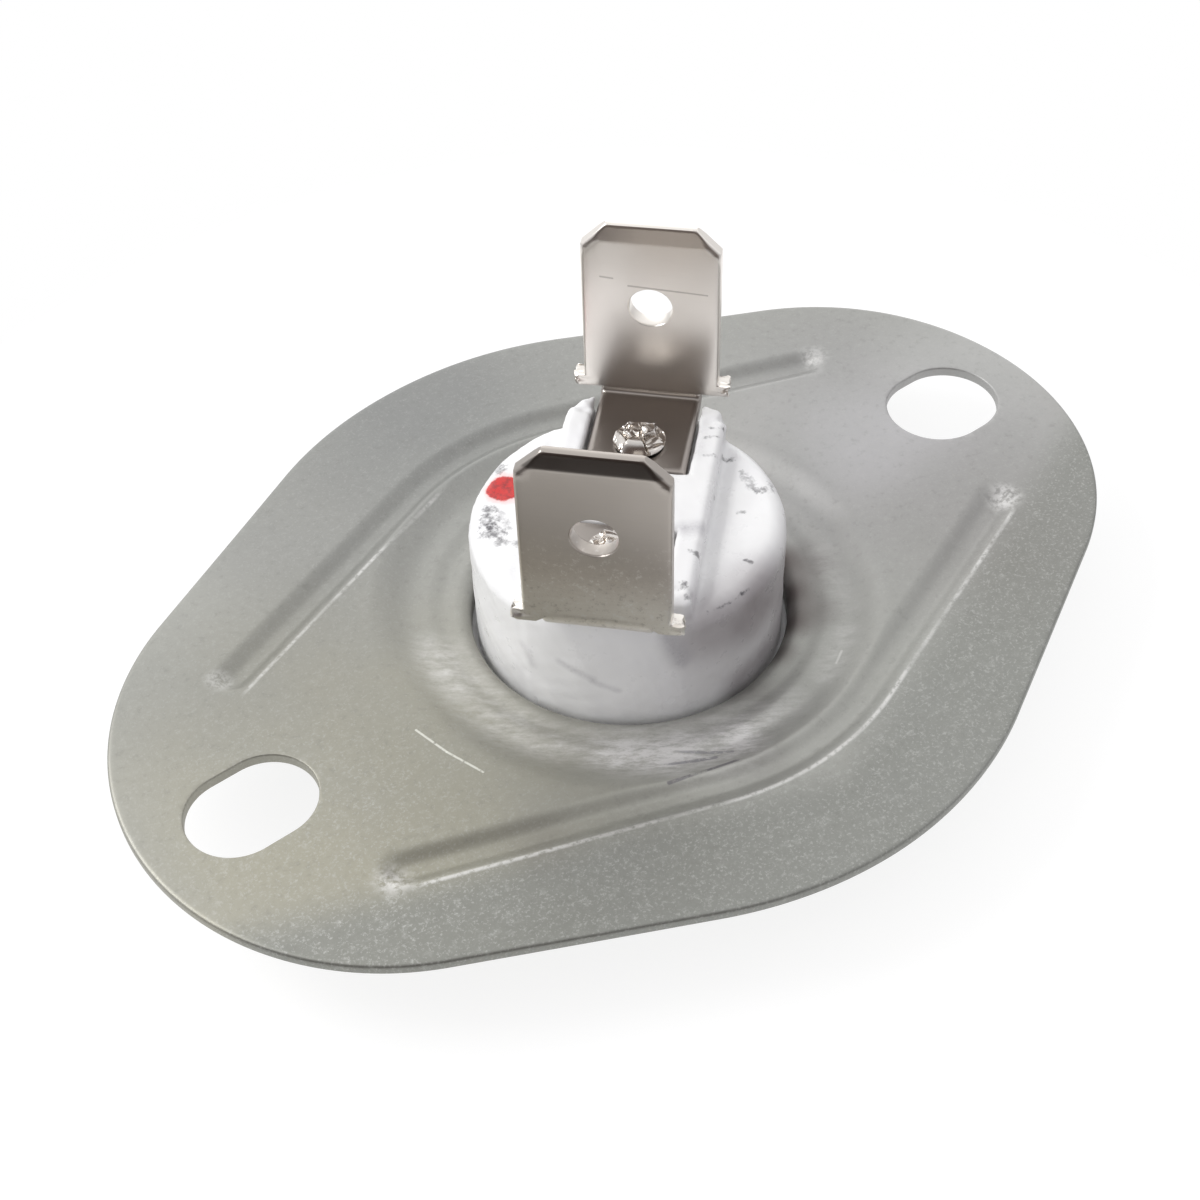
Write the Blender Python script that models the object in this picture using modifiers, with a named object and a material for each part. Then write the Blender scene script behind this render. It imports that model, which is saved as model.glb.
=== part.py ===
# Snap-disc thermal cut-off with a white ceramic body, an oval mounting plate and two push-on terminals.
# Metres, +Z up. The origin is on the body's axis, on the flat sensing face that the part rests on.
# +X is the plate's long axis, towards the wider mounting hole.
import math

import bmesh
import bpy
import numpy as np
from mathutils import Matrix, Vector
from mathutils.geometry import delaunay_2d_cdt

mm = 0.001

# Clearances: pieces that touch, and pieces that move past each other.
seat_gap = 0.1 * mm
run_gap = 0.3 * mm

# Oval mounting plate: the hull of a middle circle and two end circles, stamped from thin sheet.
plate_sheet = 0.5 * mm
plate_end_radius = 13.2 * mm
plate_end_offset = 12.55 * mm
plate_side_radius = 18.9 * mm

# Mounting holes, both rounded slots along X.
hole_offset = 20.6 * mm
narrow_hole_length = 6.0 * mm
narrow_hole_width = 4.6 * mm
wide_hole_length = 5.85 * mm
wide_hole_width = 5.05 * mm

# Round dish that is pressed down about the body, with a coined ring and a turned-down collar.
dish_radius = 12.2 * mm
dish_floor_radius = 10.1 * mm
dish_depth = 0.68 * mm
ring_radius = 9.1 * mm
ring_step = 0.22 * mm
ring_edge = 0.9 * mm
collar_gap = 0.27 * mm
collar_bend = 0.7 * mm
collar_height = 1.35 * mm

# Two stiffening grooves: an arc about the body, then straight arms out to rounded tips.
groove_radius = 12.5 * mm
groove_half_width = 1.08 * mm
groove_floor = 0.15
groove_depth = 0.4 * mm
groove_slope = math.radians(20.5)
groove_tip_offset = 17.35 * mm

# Ceramic body with a base flange, a rounded shoulder and a raised terminal block.
body_radius = 7.23 * mm
body_wall = 1.63 * mm
flange_height = 1.75 * mm
flange_edge = 0.25 * mm
shoulder_height = 8.75 * mm
shoulder_round = 1.0 * mm
shoulder_crown = 0.12 * mm
block_half_width = 3.75 * mm
block_rise = 1.15 * mm
block_round = 0.4 * mm
block_setback = 0.05 * mm
valley_radius = 0.9 * mm
valley_depth = 0.25 * mm
pocket_depth = 1.0 * mm
roof_thickness = 2.4 * mm

# Directions of the terminals: their axis runs from the front tab to the rear tab.
terminal_turn = math.radians(-47.7)

# Push-on terminals, 6.35 mm by 0.8 mm tabs folded up from a narrower foot.
terminal_sheet = 0.8 * mm
foot_half_width = 2.4 * mm
tab_half_width = 3.175 * mm
tab_inset = 0.06 * mm
tab_height = 9.34 * mm
tab_corner = 1.12 * mm
tab_bevel_length = 1.0 * mm
tab_bevel_depth = 0.13 * mm
tab_hole_radius = 1.0 * mm
tab_hole_drop = 4.29 * mm
ear_half_width = 3.72 * mm
ear_height = 0.75 * mm
fold_radius = 0.25 * mm

# Rivets through the ceramic, with a peened star head outside and a plain head inside.
rivet_radius = 0.65 * mm
rivet_head_radius = 1.3 * mm
rivet_head_height = 0.6 * mm
rivet_head_room = 0.55 * mm
rivet_petals = 7
rivet_petal_depth = 0.08 * mm
rivet_cup_radius = 0.55 * mm
rivet_cup_depth = 0.4 * mm
inner_head_height = 0.5 * mm

# Sensing cap, a shallow drawn cup that is pressed over the collar, and the disc that it holds.
cap_sheet = 0.4 * mm
cap_pad_radius = 5.6 * mm
cap_corner = 0.8 * mm
cap_brim_radius = 10.0 * mm
cap_brim_bend = 0.3 * mm
disc_radius = 6.35 * mm
disc_sheet = 0.25 * mm
disc_bow = 0.28 * mm

# Pin that the disc lifts, and the round guide that it slides in.
pin_radius = 0.85 * mm
pin_tip = 0.3 * mm
pin_play = 0.1 * mm
guide_sheet = 1.2 * mm
guide_recess = 0.45 * mm
guide_rim = 1.0 * mm
guide_hub_radius = 1.75 * mm
guide_hub_height = 1.2 * mm

# Contact arm, a thin spring, with the pair of contacts that it opens beside the pin.
arm_sheet = 0.2 * mm
arm_half_width = 1.1 * mm
arm_foot_radius = 1.5 * mm
arm_foot_room = 0.45 * mm
arm_pad_radius = 1.2 * mm
contact_side = 2.6 * mm
contact_ahead = 0.8 * mm
contact_radius = 0.95 * mm
contact_height = 0.5 * mm
contact_dome = 0.15 * mm
contact_tail_radius = 0.4 * mm
contact_tail_head = 0.2 * mm
strip_sheet = 0.5 * mm
strip_half_width = 1.1 * mm
ledge_half_width = 1.9 * mm
ledge_front = 2.1 * mm
relief_height = 0.9 * mm

# Facets round full circles.
round_steps = 48
small_steps = 24

# Heights, worked out from the sensing face upward.
cap_ledge = cap_sheet + disc_bow
disc_middle = cap_sheet + seat_gap
disc_rim = disc_middle + disc_bow
guide_bottom = disc_rim + disc_sheet + seat_gap
guide_top = guide_bottom + guide_sheet
base_bottom = cap_ledge + seat_gap
flange_top = base_bottom + flange_height
collar_bottom = flange_top + seat_gap
ring_top = collar_bottom + collar_height
plate_top = ring_top + ring_step + dish_depth
shoulder_top = base_bottom + shoulder_height
block_top = shoulder_top + block_rise
pocket_floor = block_top - pocket_depth
foot_bottom = pocket_floor + seat_gap
foot_top = foot_bottom + terminal_sheet
tab_tip = foot_top + tab_height
roof = pocket_floor - roof_thickness
arm_top = roof - run_gap
arm_bottom = arm_top - arm_sheet
moving_face = arm_bottom - seat_gap - contact_height
fixed_face = moving_face - seat_gap
strip_top = fixed_face - contact_height - seat_gap
strip_bottom = strip_top - strip_sheet
ledge_bottom = strip_top + seat_gap

# Radii that follow from the pieces they hold.
collar_inner = body_radius + collar_gap
collar_outer = collar_inner + plate_sheet
cap_inner = collar_outer + seat_gap
cap_outer = cap_inner + cap_sheet
flange_radius = cap_inner - seat_gap
counterbore_radius = disc_radius + seat_gap
guide_radius = counterbore_radius - seat_gap
cavity_radius = body_radius - body_wall
rivet_offset = cavity_radius - arm_foot_room - arm_foot_radius
pocket_end = rivet_offset - rivet_head_radius - rivet_head_room
tab_stand = body_radius - tab_inset
pocket_half_width = foot_half_width + seat_gap

parts = bpy.data.collections.new("thermal_cutoff")
cutters = bpy.data.collections.new("cutters")


def clear_scene():
    for item in list(bpy.data.objects):
        bpy.data.objects.remove(item, do_unlink=True)
    for collection in (parts, cutters):
        bpy.context.scene.collection.children.link(collection)


def make_material(name, colour, roughness, metallic):
    material = bpy.data.materials.new(name)
    material.use_nodes = True
    shader = material.node_tree.nodes["Principled BSDF"]
    shader.inputs["Base Color"].default_value = (*colour, 1.0)
    shader.inputs["Roughness"].default_value = roughness
    shader.inputs["Metallic"].default_value = metallic
    return material


def place_object(name, mesh, material=None):
    # An object with a material is a part; one without is a cutter.
    item = bpy.data.objects.new(name, mesh)
    if material is None:
        cutters.objects.link(item)
        item.hide_render = True
        item.display_type = "WIRE"
    else:
        parts.objects.link(item)
        item.data.materials.append(material)
    return item


def turned(name, profile, steps, material=None, closed=False):
    # The profile runs down the outer side, as pairs of radius and height.
    count = len(profile)
    edges = [(i, i + 1) for i in range(count - 1)]
    if closed:
        edges.append((count - 1, 0))
    mesh = bpy.data.meshes.new(name)
    mesh.from_pydata([(radius, 0.0, height) for radius, height in profile], edges, [])
    item = place_object(name, mesh, material)
    screw = item.modifiers.new("turn", "SCREW")
    screw.steps = steps
    screw.render_steps = steps
    screw.use_merge_vertices = True
    screw.merge_threshold = 0.001 * mm
    screw.use_smooth_shade = True
    return item


def arc(centre_radius, centre_height, radius, start, end, count):
    # Points of a round edge in a turned profile, between two angles in degrees.
    angles = np.radians(np.linspace(start, end, count + 1))
    return [(centre_radius + radius * math.cos(a), centre_height + radius * math.sin(a)) for a in angles]


def baked(item):
    # Replaces the modifiers, or a curve, with a plain welded mesh that Booleans can use.
    evaluated = item.evaluated_get(bpy.context.evaluated_depsgraph_get())
    mesh = bpy.data.meshes.new_from_object(evaluated)
    work = bmesh.new()
    work.from_mesh(mesh)
    bmesh.ops.remove_doubles(work, verts=work.verts, dist=0.001 * mm)
    bmesh.ops.recalc_face_normals(work, faces=work.faces)
    work.to_mesh(mesh)
    work.free()
    name = item.name
    place = item.matrix_world.copy()
    collection = item.users_collection[0]
    bpy.data.objects.remove(item, do_unlink=True)
    result = bpy.data.objects.new(name, mesh)
    result.matrix_world = place
    collection.objects.link(result)
    if collection == cutters:
        result.hide_render = True
        result.display_type = "WIRE"
    return result


def flat_solid(name, outlines, thickness, material=None):
    # Outlines in the XY plane, the first one outside and the others holes, thickened about Z = 0.
    curve = bpy.data.curves.new(name, "CURVE")
    curve.dimensions = "2D"
    curve.fill_mode = "BOTH"
    curve.extrude = thickness / 2
    for outline in outlines:
        spline = curve.splines.new("POLY")
        spline.points.add(len(outline) - 1)
        for point, (x, y) in zip(spline.points, outline):
            point.co = (x, y, 0.0, 1.0)
        spline.use_cyclic_u = True
    item = place_object(name, curve, material)
    bpy.context.view_layer.update()
    return item


def box(name, low, high):
    mesh = bpy.data.meshes.new(name)
    work = bmesh.new()
    bmesh.ops.create_cube(work, size=1.0)
    low = Vector(low)
    high = Vector(high)
    place = Matrix.Translation((low + high) / 2) @ Matrix.Diagonal((*(high - low), 1.0))
    bmesh.ops.transform(work, matrix=place, verts=work.verts)
    work.to_mesh(mesh)
    work.free()
    return place_object(name, mesh)


def cylinder(name, radius, low, high, steps, centre=(0.0, 0.0)):
    item = turned(name, [(0.0, high), (radius, high), (radius, low), (0.0, low)], steps)
    item.location = (centre[0], centre[1], 0.0)
    return item


def boolean(item, operation, tool, solver="EXACT"):
    modifier = item.modifiers.new(operation.lower() + " " + tool.name, "BOOLEAN")
    modifier.operation = operation
    modifier.object = tool
    modifier.solver = solver


def along_terminals(item, side=1):
    # Turns a piece that is drawn with the terminal axis along +Y to its place; side -1 is the front.
    item.rotation_euler = (0.0, 0.0, terminal_turn + (0.0 if side > 0 else math.pi))


def circle(radius, steps, centre=(0.0, 0.0)):
    angles = np.arange(steps) * 2 * math.pi / steps
    return [(centre[0] + radius * math.cos(a), centre[1] + radius * math.sin(a)) for a in angles]


def stadium(length, width, centre, steps):
    # A slot along X: two half circles joined by straight sides.
    reach = (length - width) / 2
    angles = np.radians(np.linspace(-90, 90, steps + 1))
    right = [(centre + reach + width / 2 * math.cos(a), width / 2 * math.sin(a)) for a in angles]
    left = [(centre - reach - width / 2 * math.cos(a), -width / 2 * math.sin(a)) for a in angles]
    return right + left


def plate_outline(steps):
    # The hull of the three circles: each straight side touches the middle circle and an end circle.
    touch = math.acos((plate_side_radius - plate_end_radius) / plate_end_offset)
    arcs = (
        (plate_end_offset, plate_end_radius, -touch, touch),
        (0.0, plate_side_radius, touch, math.pi - touch),
        (-plate_end_offset, plate_end_radius, math.pi - touch, math.pi + touch),
        (0.0, plate_side_radius, math.pi + touch, 2 * math.pi - touch),
    )
    outline = []
    for centre, radius, start, end in arcs:
        count = max(3, round(steps * (end - start) / (2 * math.pi)))
        for angle in np.linspace(start, end, count + 1):
            outline.append((centre + radius * math.cos(angle), radius * math.sin(angle)))
    return outline


def groove_line(count):
    # Half of the lower groove's centreline, from the middle to the tip, with the outward direction at each point.
    turn_end = (groove_radius * math.sin(groove_slope), -groove_radius * math.cos(groove_slope))
    arm = (groove_tip_offset - turn_end[0]) / math.cos(groove_slope)
    bend = groove_radius * groove_slope
    points = []
    for travel in np.linspace(0.0, bend + arm, count):
        angle = min(travel, bend) / groove_radius
        rest = max(0.0, travel - bend)
        x = groove_radius * math.sin(angle) + rest * math.cos(groove_slope)
        y = -groove_radius * math.cos(angle) + rest * math.sin(groove_slope)
        points.append((x, y, math.sin(angle), -math.cos(angle)))
    return points


def groove_distance(x, y):
    # Distance from the nearer groove's centreline; both grooves and both arms mirror onto one.
    x = np.abs(x)
    y = -np.abs(y)
    along = (math.cos(groove_slope), math.sin(groove_slope))
    start = (groove_radius * along[1], -groove_radius * along[0])
    length = (groove_tip_offset - start[0]) / along[0]
    travel = np.clip((x - start[0]) * along[0] + (y - start[1]) * along[1], 0.0, length)
    arm = np.hypot(x - start[0] - travel * along[0], y - start[1] - travel * along[1])
    middle = np.abs(np.hypot(x, y) - groove_radius)
    in_arc = np.arctan2(x, -y) < groove_slope
    return np.where(in_arc, middle, arm)


def smooth(value):
    value = np.clip(value, 0.0, 1.0)
    return value * value * (3.0 - 2.0 * value)


def press_depth(x, y, radius):
    # The dish and the grooves merge where they meet, as one press stroke draws both.
    dish = dish_depth * smooth((dish_radius - radius) / (dish_radius - dish_floor_radius))
    dish = dish + ring_step * smooth((ring_radius + ring_edge / 2 - radius) / ring_edge)
    across = groove_distance(x, y) / groove_half_width
    groove = groove_depth * smooth((1.0 - across) / (1.0 - groove_floor))
    return np.sqrt(dish ** 2 + groove ** 2)


def press_plate(points, below):
    # Carries points of the flat blank to the pressed plate, on its upper face or the given depth below it.
    # Inside the bend's start the blank wraps round the bend and then hangs as the collar.
    x, y = points[:, 0], points[:, 1]
    blank = np.hypot(x, y)
    bend_start = collar_inner + collar_bend
    wrap = np.clip((bend_start - blank) / collar_bend, 0.0, math.pi / 2)
    hang = np.clip(bend_start - collar_bend * math.pi / 2 - blank, 0.0, None)
    bend_radius = collar_bend - below
    inside = blank < bend_start
    radius = np.where(inside, bend_start - bend_radius * np.sin(wrap), blank)
    bend_centre = ring_top - collar_bend
    turned_height = bend_centre + bend_radius * np.cos(wrap) - hang
    flat_height = plate_top - press_depth(x, y, blank) - below
    height = np.where(inside, turned_height, flat_height)
    return np.stack([x * radius / blank, y * radius / blank, height], axis=1)


def mounting_plate(material):
    # A blank with its outline, holes and the lines of the pressing is triangulated flat, then pressed.
    bend_start = collar_inner + collar_bend
    blank_hole = bend_start - collar_bend * math.pi / 2 - (collar_height - collar_bend)
    hole_steps = 10
    loops = [
        plate_outline(96),
        circle(blank_hole, round_steps),
        stadium(narrow_hole_length, narrow_hole_width, -hole_offset, hole_steps),
        stadium(wide_hole_length, wide_hole_width, hole_offset, hole_steps),
    ]
    rings = list(np.linspace(blank_hole, bend_start, 6)[1:])
    rings += [ring_radius - ring_edge / 2, ring_radius + ring_edge / 2, dish_floor_radius]
    points = []
    for radius in rings:
        points += circle(radius, round_steps)
    line = groove_line(22)
    for across in (-1.0, -0.72, -0.36, 0.0, 0.36, 0.72, 1.0):
        for x, y, out_x, out_y in line:
            place_x = x + across * groove_half_width * out_x
            place_y = y + across * groove_half_width * out_y
            for side_x in (-1, 1) if x > 0 else (1,):
                points += [(side_x * place_x, place_y), (side_x * place_x, -place_y)]
    tip_x, tip_y, out_x, out_y = line[-1]
    for share in (0.5, 1.0):
        for angle in np.radians((22.5, 67.5, 112.5, 157.5)):
            step_out = share * groove_half_width * math.cos(angle)
            step_on = share * groove_half_width * math.sin(angle)
            place_x = tip_x + step_out * out_x - step_on * out_y
            place_y = tip_y + step_out * out_y + step_on * out_x
            for side_x in (-1, 1):
                points += [(side_x * place_x, place_y), (side_x * place_x, -place_y)]
    between = (dish_radius + dish_floor_radius) / 2
    for radius in (between - (dish_radius - dish_floor_radius) / 4, between, dish_radius):
        for x, y in circle(radius, round_steps):
            if groove_distance(np.array(x), np.array(y)) > groove_half_width * 1.1:
                points.append((x, y))
    return sheet_from_blank("mounting_plate", loops, points, press_plate, plate_sheet, material)


def inside_loop(loop, x, y):
    # Even-odd count of the loop's edges that a ray along +X crosses.
    start = np.array(loop)
    end = np.roll(start, -1, axis=0)
    spans = (start[:, 1] > y) != (end[:, 1] > y)
    rise = np.where(end[:, 1] == start[:, 1], 1.0, end[:, 1] - start[:, 1])
    crossing = start[:, 0] + (y - start[:, 1]) * (end[:, 0] - start[:, 0]) / rise
    return int(np.count_nonzero(spans & (crossing > x))) % 2 == 1


def sheet_from_blank(name, loops, points, form, thickness, material):
    # Triangulates the blank in millimetres, keeps what lies in the first loop and out of the others,
    # and joins the formed upper and lower faces by a wall along each loop.
    flat = [Vector((x / mm, y / mm)) for loop in loops for x, y in loop]
    edges = []
    first = 0
    for loop in loops:
        count = len(loop)
        edges += [(first + i, first + (i + 1) % count) for i in range(count)]
        first += count
    flat += [Vector((x / mm, y / mm)) for x, y in points]
    verts, _, triangles, *_ = delaunay_2d_cdt(flat, edges, [], 0, 1e-5)
    blank = np.array([tuple(v) for v in verts]) * mm
    kept = []
    for triangle in triangles:
        x, y = blank[list(triangle)].mean(axis=0)
        if inside_loop(loops[0], x, y) and not any(inside_loop(loop, x, y) for loop in loops[1:]):
            kept.append(tuple(triangle))
    upper = form(blank, 0.0)
    lower = form(blank, thickness)
    count = len(blank)
    faces = list(kept) + [tuple(count + i for i in reversed(triangle)) for triangle in kept]
    sides = {(t[i], t[(i + 1) % 3]) for t in kept for i in range(3)}
    for a, b in sides:
        if (b, a) not in sides:
            faces.append((b, a, count + a, count + b))
    mesh = bpy.data.meshes.new(name)
    mesh.from_pydata(np.vstack([upper, lower]).tolist(), [], faces)
    work = bmesh.new()
    work.from_mesh(mesh)
    loose = [v for v in work.verts if not v.link_faces]
    bmesh.ops.delete(work, geom=loose, context="VERTS")
    work.to_mesh(mesh)
    work.free()
    mesh.shade_smooth()
    mesh.set_sharp_from_angle(angle=math.radians(40))
    return place_object(name, mesh, material)


def body_outside():
    # Turned outer form: a domed and rounded shoulder, the straight wall and the base flange.
    crown = shoulder_top + shoulder_crown
    profile = [(0.0, crown), (block_half_width, crown)]
    profile += arc(body_radius - shoulder_round, shoulder_top - shoulder_round, shoulder_round, 90, 0, 6)
    profile += [(body_radius, flange_top), (flange_radius - flange_edge, flange_top)]
    profile += [(flange_radius, flange_top - flange_edge), (flange_radius, base_bottom + flange_edge)]
    profile += [(flange_radius - flange_edge, base_bottom), (0.0, base_bottom)]
    return profile


def block_envelope():
    # Rounds off the ends of the terminal block just inside the body's wall.
    radius = body_radius - block_setback
    profile = [(0.0, block_top + block_round), (radius - 1.5 * block_round, block_top + block_round / 2)]
    profile += arc(radius - block_round, block_top - block_round, block_round, 75, 0, 4)
    profile += [(radius, roof), (0.0, roof)]
    return turned("block_envelope", profile, round_steps)


def terminal_block():
    # The block's section across the terminals, with rounded upper edges, run along them.
    low = roof
    section = [(-block_half_width, low), (block_half_width, low)]
    section += arc(block_half_width - block_round, block_top - block_round, block_round, 0, 90, 4)
    section += arc(block_round - block_half_width, block_top - block_round, block_round, 90, 180, 4)
    block = flat_solid("terminal_block", [section], 2 * body_radius)
    block.matrix_world = Matrix.Rotation(terminal_turn, 4, "Z") @ Matrix.Rotation(math.pi / 2, 4, "X")
    bpy.context.view_layer.update()
    block = baked(block)
    boolean(block, "INTERSECT", block_envelope())
    return block


def terminal_box(name, low, high, side=1):
    item = box(name, low, high)
    along_terminals(item, side)
    return item


def body_cavity():
    # The hollow below, turned as one: a counterbore for the disc and the guide, then the contact chamber.
    # A ledge is left in the chamber at the rear, and its roof is raised above the moving end of the arm.
    below = base_bottom - 1 * mm
    counterbore_top = guide_top + seat_gap
    profile = [(0.0, roof), (cavity_radius, roof), (cavity_radius, counterbore_top)]
    profile += [(counterbore_radius, counterbore_top), (counterbore_radius, below), (0.0, below)]
    hollow = turned("body_hollow", profile, round_steps)
    ledge_low = (-ledge_half_width, ledge_front, ledge_bottom)
    ledge_high = (ledge_half_width, 2 * body_radius, block_top)
    boolean(hollow, "DIFFERENCE", terminal_box("ledge", ledge_low, ledge_high))
    relief_low = (-arm_half_width - 2 * run_gap, arm_foot_radius - rivet_offset, arm_bottom)
    relief_high = (contact_side + arm_pad_radius + run_gap, ledge_front, roof + relief_height)
    boolean(hollow, "UNION", terminal_box("arm_relief", relief_low, relief_high))
    return hollow


def ceramic_body(material):
    # The block's ends meet the shoulder in slivers that the exact solver leaves open, so the cuts after
    # the union use the manifold one.
    body = turned("ceramic_body", body_outside(), round_steps, material)
    for side in (-1, 1):
        valley = cylinder("valley", valley_radius, -body_radius, body_radius, small_steps)
        across = side * block_half_width
        height = shoulder_top + valley_radius - valley_depth
        turn = Matrix.Rotation(terminal_turn, 4, "Z")
        valley.matrix_world = turn @ Matrix.Translation((across, 0.0, height)) @ Matrix.Rotation(math.pi / 2, 4, "X")
        boolean(body, "DIFFERENCE", valley)
    boolean(body, "UNION", terminal_block())
    for side in (-1, 1):
        low = (-pocket_half_width, pocket_end, pocket_floor)
        high = (pocket_half_width, 2 * body_radius, block_top + 1 * mm)
        boolean(body, "DIFFERENCE", terminal_box("pocket", low, high, side), "MANIFOLD")
        low, high = base_bottom - 1 * mm, block_top + 1 * mm
        rivet_hole = cylinder("rivet_hole", rivet_radius + seat_gap, low, high, small_steps)
        rivet_hole.location = terminal_point(0.0, side * rivet_offset)
        boolean(body, "DIFFERENCE", rivet_hole, "MANIFOLD")
    boolean(body, "DIFFERENCE", body_cavity(), "MANIFOLD")
    return body


def terminal_point(across, along, height=0.0):
    return Matrix.Rotation(terminal_turn, 4, "Z") @ Vector((across, along, height))


def tab_outline():
    # The upright tab seen from its face, from the ears' lower edge to the tip, with the locking hole.
    low = foot_top
    ear = low + ear_height
    half = [
        (ear_half_width, low),
        (ear_half_width, ear - ear_height / 4),
        (ear_half_width - ear_height / 8, ear),
        (tab_half_width, ear),
        (tab_half_width, tab_tip - tab_corner),
        (tab_half_width - tab_corner, tab_tip),
    ]
    outline = half + [(-x, y) for x, y in reversed(half)]
    return [outline, circle(tab_hole_radius, small_steps, (0.0, tab_tip - tab_hole_drop))]


def foot_section():
    # The foot and the fold seen from the side, with the tab's inner face at tab_stand.
    outer = fold_radius + terminal_sheet
    centre = (tab_stand - fold_radius, foot_top + fold_radius)
    top = foot_top + ear_height / 2
    section = [(pocket_end + seat_gap, foot_bottom)]
    section += arc(centre[0], centre[1], outer, -90, 0, 6)
    section += [(tab_stand + terminal_sheet, top), (tab_stand, top)]
    section += arc(centre[0], centre[1], fold_radius, 0, -90, 4)
    section += [(pocket_end + seat_gap, foot_top)]
    return section


def tip_wedge(side):
    # Cuts one face of the tab back to a thinner tip.
    face = tab_stand + (terminal_sheet if side > 0 else 0.0)
    start = tab_tip - tab_bevel_length
    over = 1 * mm
    slope = tab_bevel_depth / tab_bevel_length
    section = [
        (face, start),
        (face - side * slope * (tab_bevel_length + over), tab_tip + over),
        (face + side * over, tab_tip + over),
        (face + side * over, start),
    ]
    if side > 0:
        section.reverse()
    wedge = flat_solid("tip_wedge", [section], 2 * ear_half_width + over)
    wedge.matrix_world = Matrix.Rotation(math.pi / 2, 4, "Z") @ Matrix.Rotation(math.pi / 2, 4, "X")
    bpy.context.view_layer.update()
    return baked(wedge)


def terminal(name, side, material):
    # Tab and foot are drawn flat, stood up along +Y and joined, then the pair is turned to its place.
    tab = flat_solid(name, tab_outline(), terminal_sheet, material)
    tab.matrix_world = Matrix.Translation((0.0, tab_stand + terminal_sheet / 2, 0.0)) @ Matrix.Rotation(
        math.pi / 2, 4, "X"
    )
    bpy.context.view_layer.update()
    tab = baked(tab)
    foot = flat_solid("foot", [foot_section()], 2 * foot_half_width)
    foot.matrix_world = Matrix.Rotation(math.pi / 2, 4, "Z") @ Matrix.Rotation(math.pi / 2, 4, "X")
    bpy.context.view_layer.update()
    tools = [("UNION", baked(foot)), ("DIFFERENCE", tip_wedge(1)), ("DIFFERENCE", tip_wedge(-1))]
    hole = cylinder("foot_hole", rivet_radius + seat_gap, foot_bottom - mm, foot_top + mm, small_steps)
    hole.location = (0.0, rivet_offset, 0.0)
    tools.append(("DIFFERENCE", hole))
    turn = Matrix.Rotation(terminal_turn + (0.0 if side > 0 else math.pi), 4, "Z")
    bpy.context.view_layer.update()
    for operation, tool in tools:
        tool.matrix_world = turn @ tool.matrix_world
        boolean(tab, operation, tool)
    tab.matrix_world = turn @ tab.matrix_world
    return tab


def rivet(name, side, inner_seat, material):
    # Turned from the peened head down to the inner head, then the petals are pressed into the outer head.
    head_bottom = foot_top + seat_gap
    head_top = head_bottom + rivet_head_height
    hollow = head_top - rivet_cup_depth
    profile = [(0.0, hollow), (rivet_cup_radius / 2, hollow), (rivet_cup_radius, head_top - rivet_cup_depth / 3)]
    rim = (rivet_head_radius - rivet_cup_radius) / 2
    profile += arc(rivet_head_radius - rim, head_top - rim, rim, 140, -30, 5)
    profile += [(rivet_head_radius - rim / 2, head_bottom), (rivet_radius, head_bottom)]
    profile += [(rivet_radius, inner_seat), (rivet_head_radius - rim / 2, inner_seat)]
    profile += [(rivet_head_radius, inner_seat - inner_head_height / 3)]
    profile += [(rivet_head_radius, inner_seat - inner_head_height * 2 / 3)]
    profile += [(rivet_radius, inner_seat - inner_head_height), (0.0, inner_seat - inner_head_height)]
    item = baked(turned(name, profile, small_steps, material))
    for vertex in item.data.vertices:
        x, y, z = vertex.co
        radius = math.hypot(x, y)
        if z > head_bottom + seat_gap and radius > rivet_cup_radius / 3:
            wave = rivet_petal_depth * math.cos(rivet_petals * math.atan2(y, x)) * radius / rivet_head_radius
            vertex.co = (x * (1 + wave / radius), y * (1 + wave / radius), z + wave / 2)
    item.data.shade_smooth()
    item.data.set_sharp_from_angle(angle=math.radians(40))
    item.location = terminal_point(0.0, side * rivet_offset)
    return item


def sensing_cap(material):
    # Inner floor, inner wall and brim, then the same sheet back down the outside.
    brim_top = ring_top - plate_sheet - seat_gap
    brim_bottom = brim_top - cap_sheet
    pad_edge = cap_pad_radius + disc_bow
    profile = [(0.0, cap_sheet), (cap_pad_radius, cap_sheet), (pad_edge, cap_ledge)]
    inner_corner = cap_corner - cap_sheet
    profile += arc(cap_inner - inner_corner, cap_ledge + inner_corner, inner_corner, -90, 0, 4)
    profile += arc(cap_inner + cap_brim_bend, brim_top - cap_brim_bend, cap_brim_bend, 180, 90, 3)
    profile += [(cap_brim_radius, brim_top), (cap_brim_radius, brim_bottom)]
    profile += [(cap_outer + seat_gap, brim_bottom), (cap_outer, brim_bottom - seat_gap)]
    profile += arc(cap_outer - cap_corner, cap_ledge - cap_sheet + cap_corner, cap_corner, 0, -90, 5)
    profile += [(pad_edge, cap_ledge - cap_sheet), (cap_pad_radius, 0.0), (0.0, 0.0)]
    return turned("sensing_cap", profile, round_steps, material)


def bimetal_disc(material):
    # A shallow saucer that bows down while it is cold.
    radii = np.linspace(0.0, disc_radius, 5)
    upper = [(r, disc_middle + disc_sheet + disc_bow * (r / disc_radius) ** 2) for r in radii]
    lower = [(r, disc_middle + disc_bow * (r / disc_radius) ** 2) for r in reversed(radii)]
    return turned("bimetal_disc", upper + lower, round_steps, material)


def pin_guide(material):
    # A ring that closes the chamber, hollowed below so the disc can bow up, with a hub that guides the pin.
    bore = pin_radius + 2 * seat_gap
    recess = guide_bottom + guide_recess
    profile = [
        (bore, guide_top + guide_hub_height),
        (guide_hub_radius, guide_top + guide_hub_height),
        (guide_hub_radius, guide_top),
        (guide_radius, guide_top),
        (guide_radius, guide_bottom),
        (guide_radius - guide_rim, guide_bottom),
        (guide_radius - guide_rim, recess),
        (bore, recess),
    ]
    return turned("pin_guide", profile, round_steps, material, closed=True)


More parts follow.
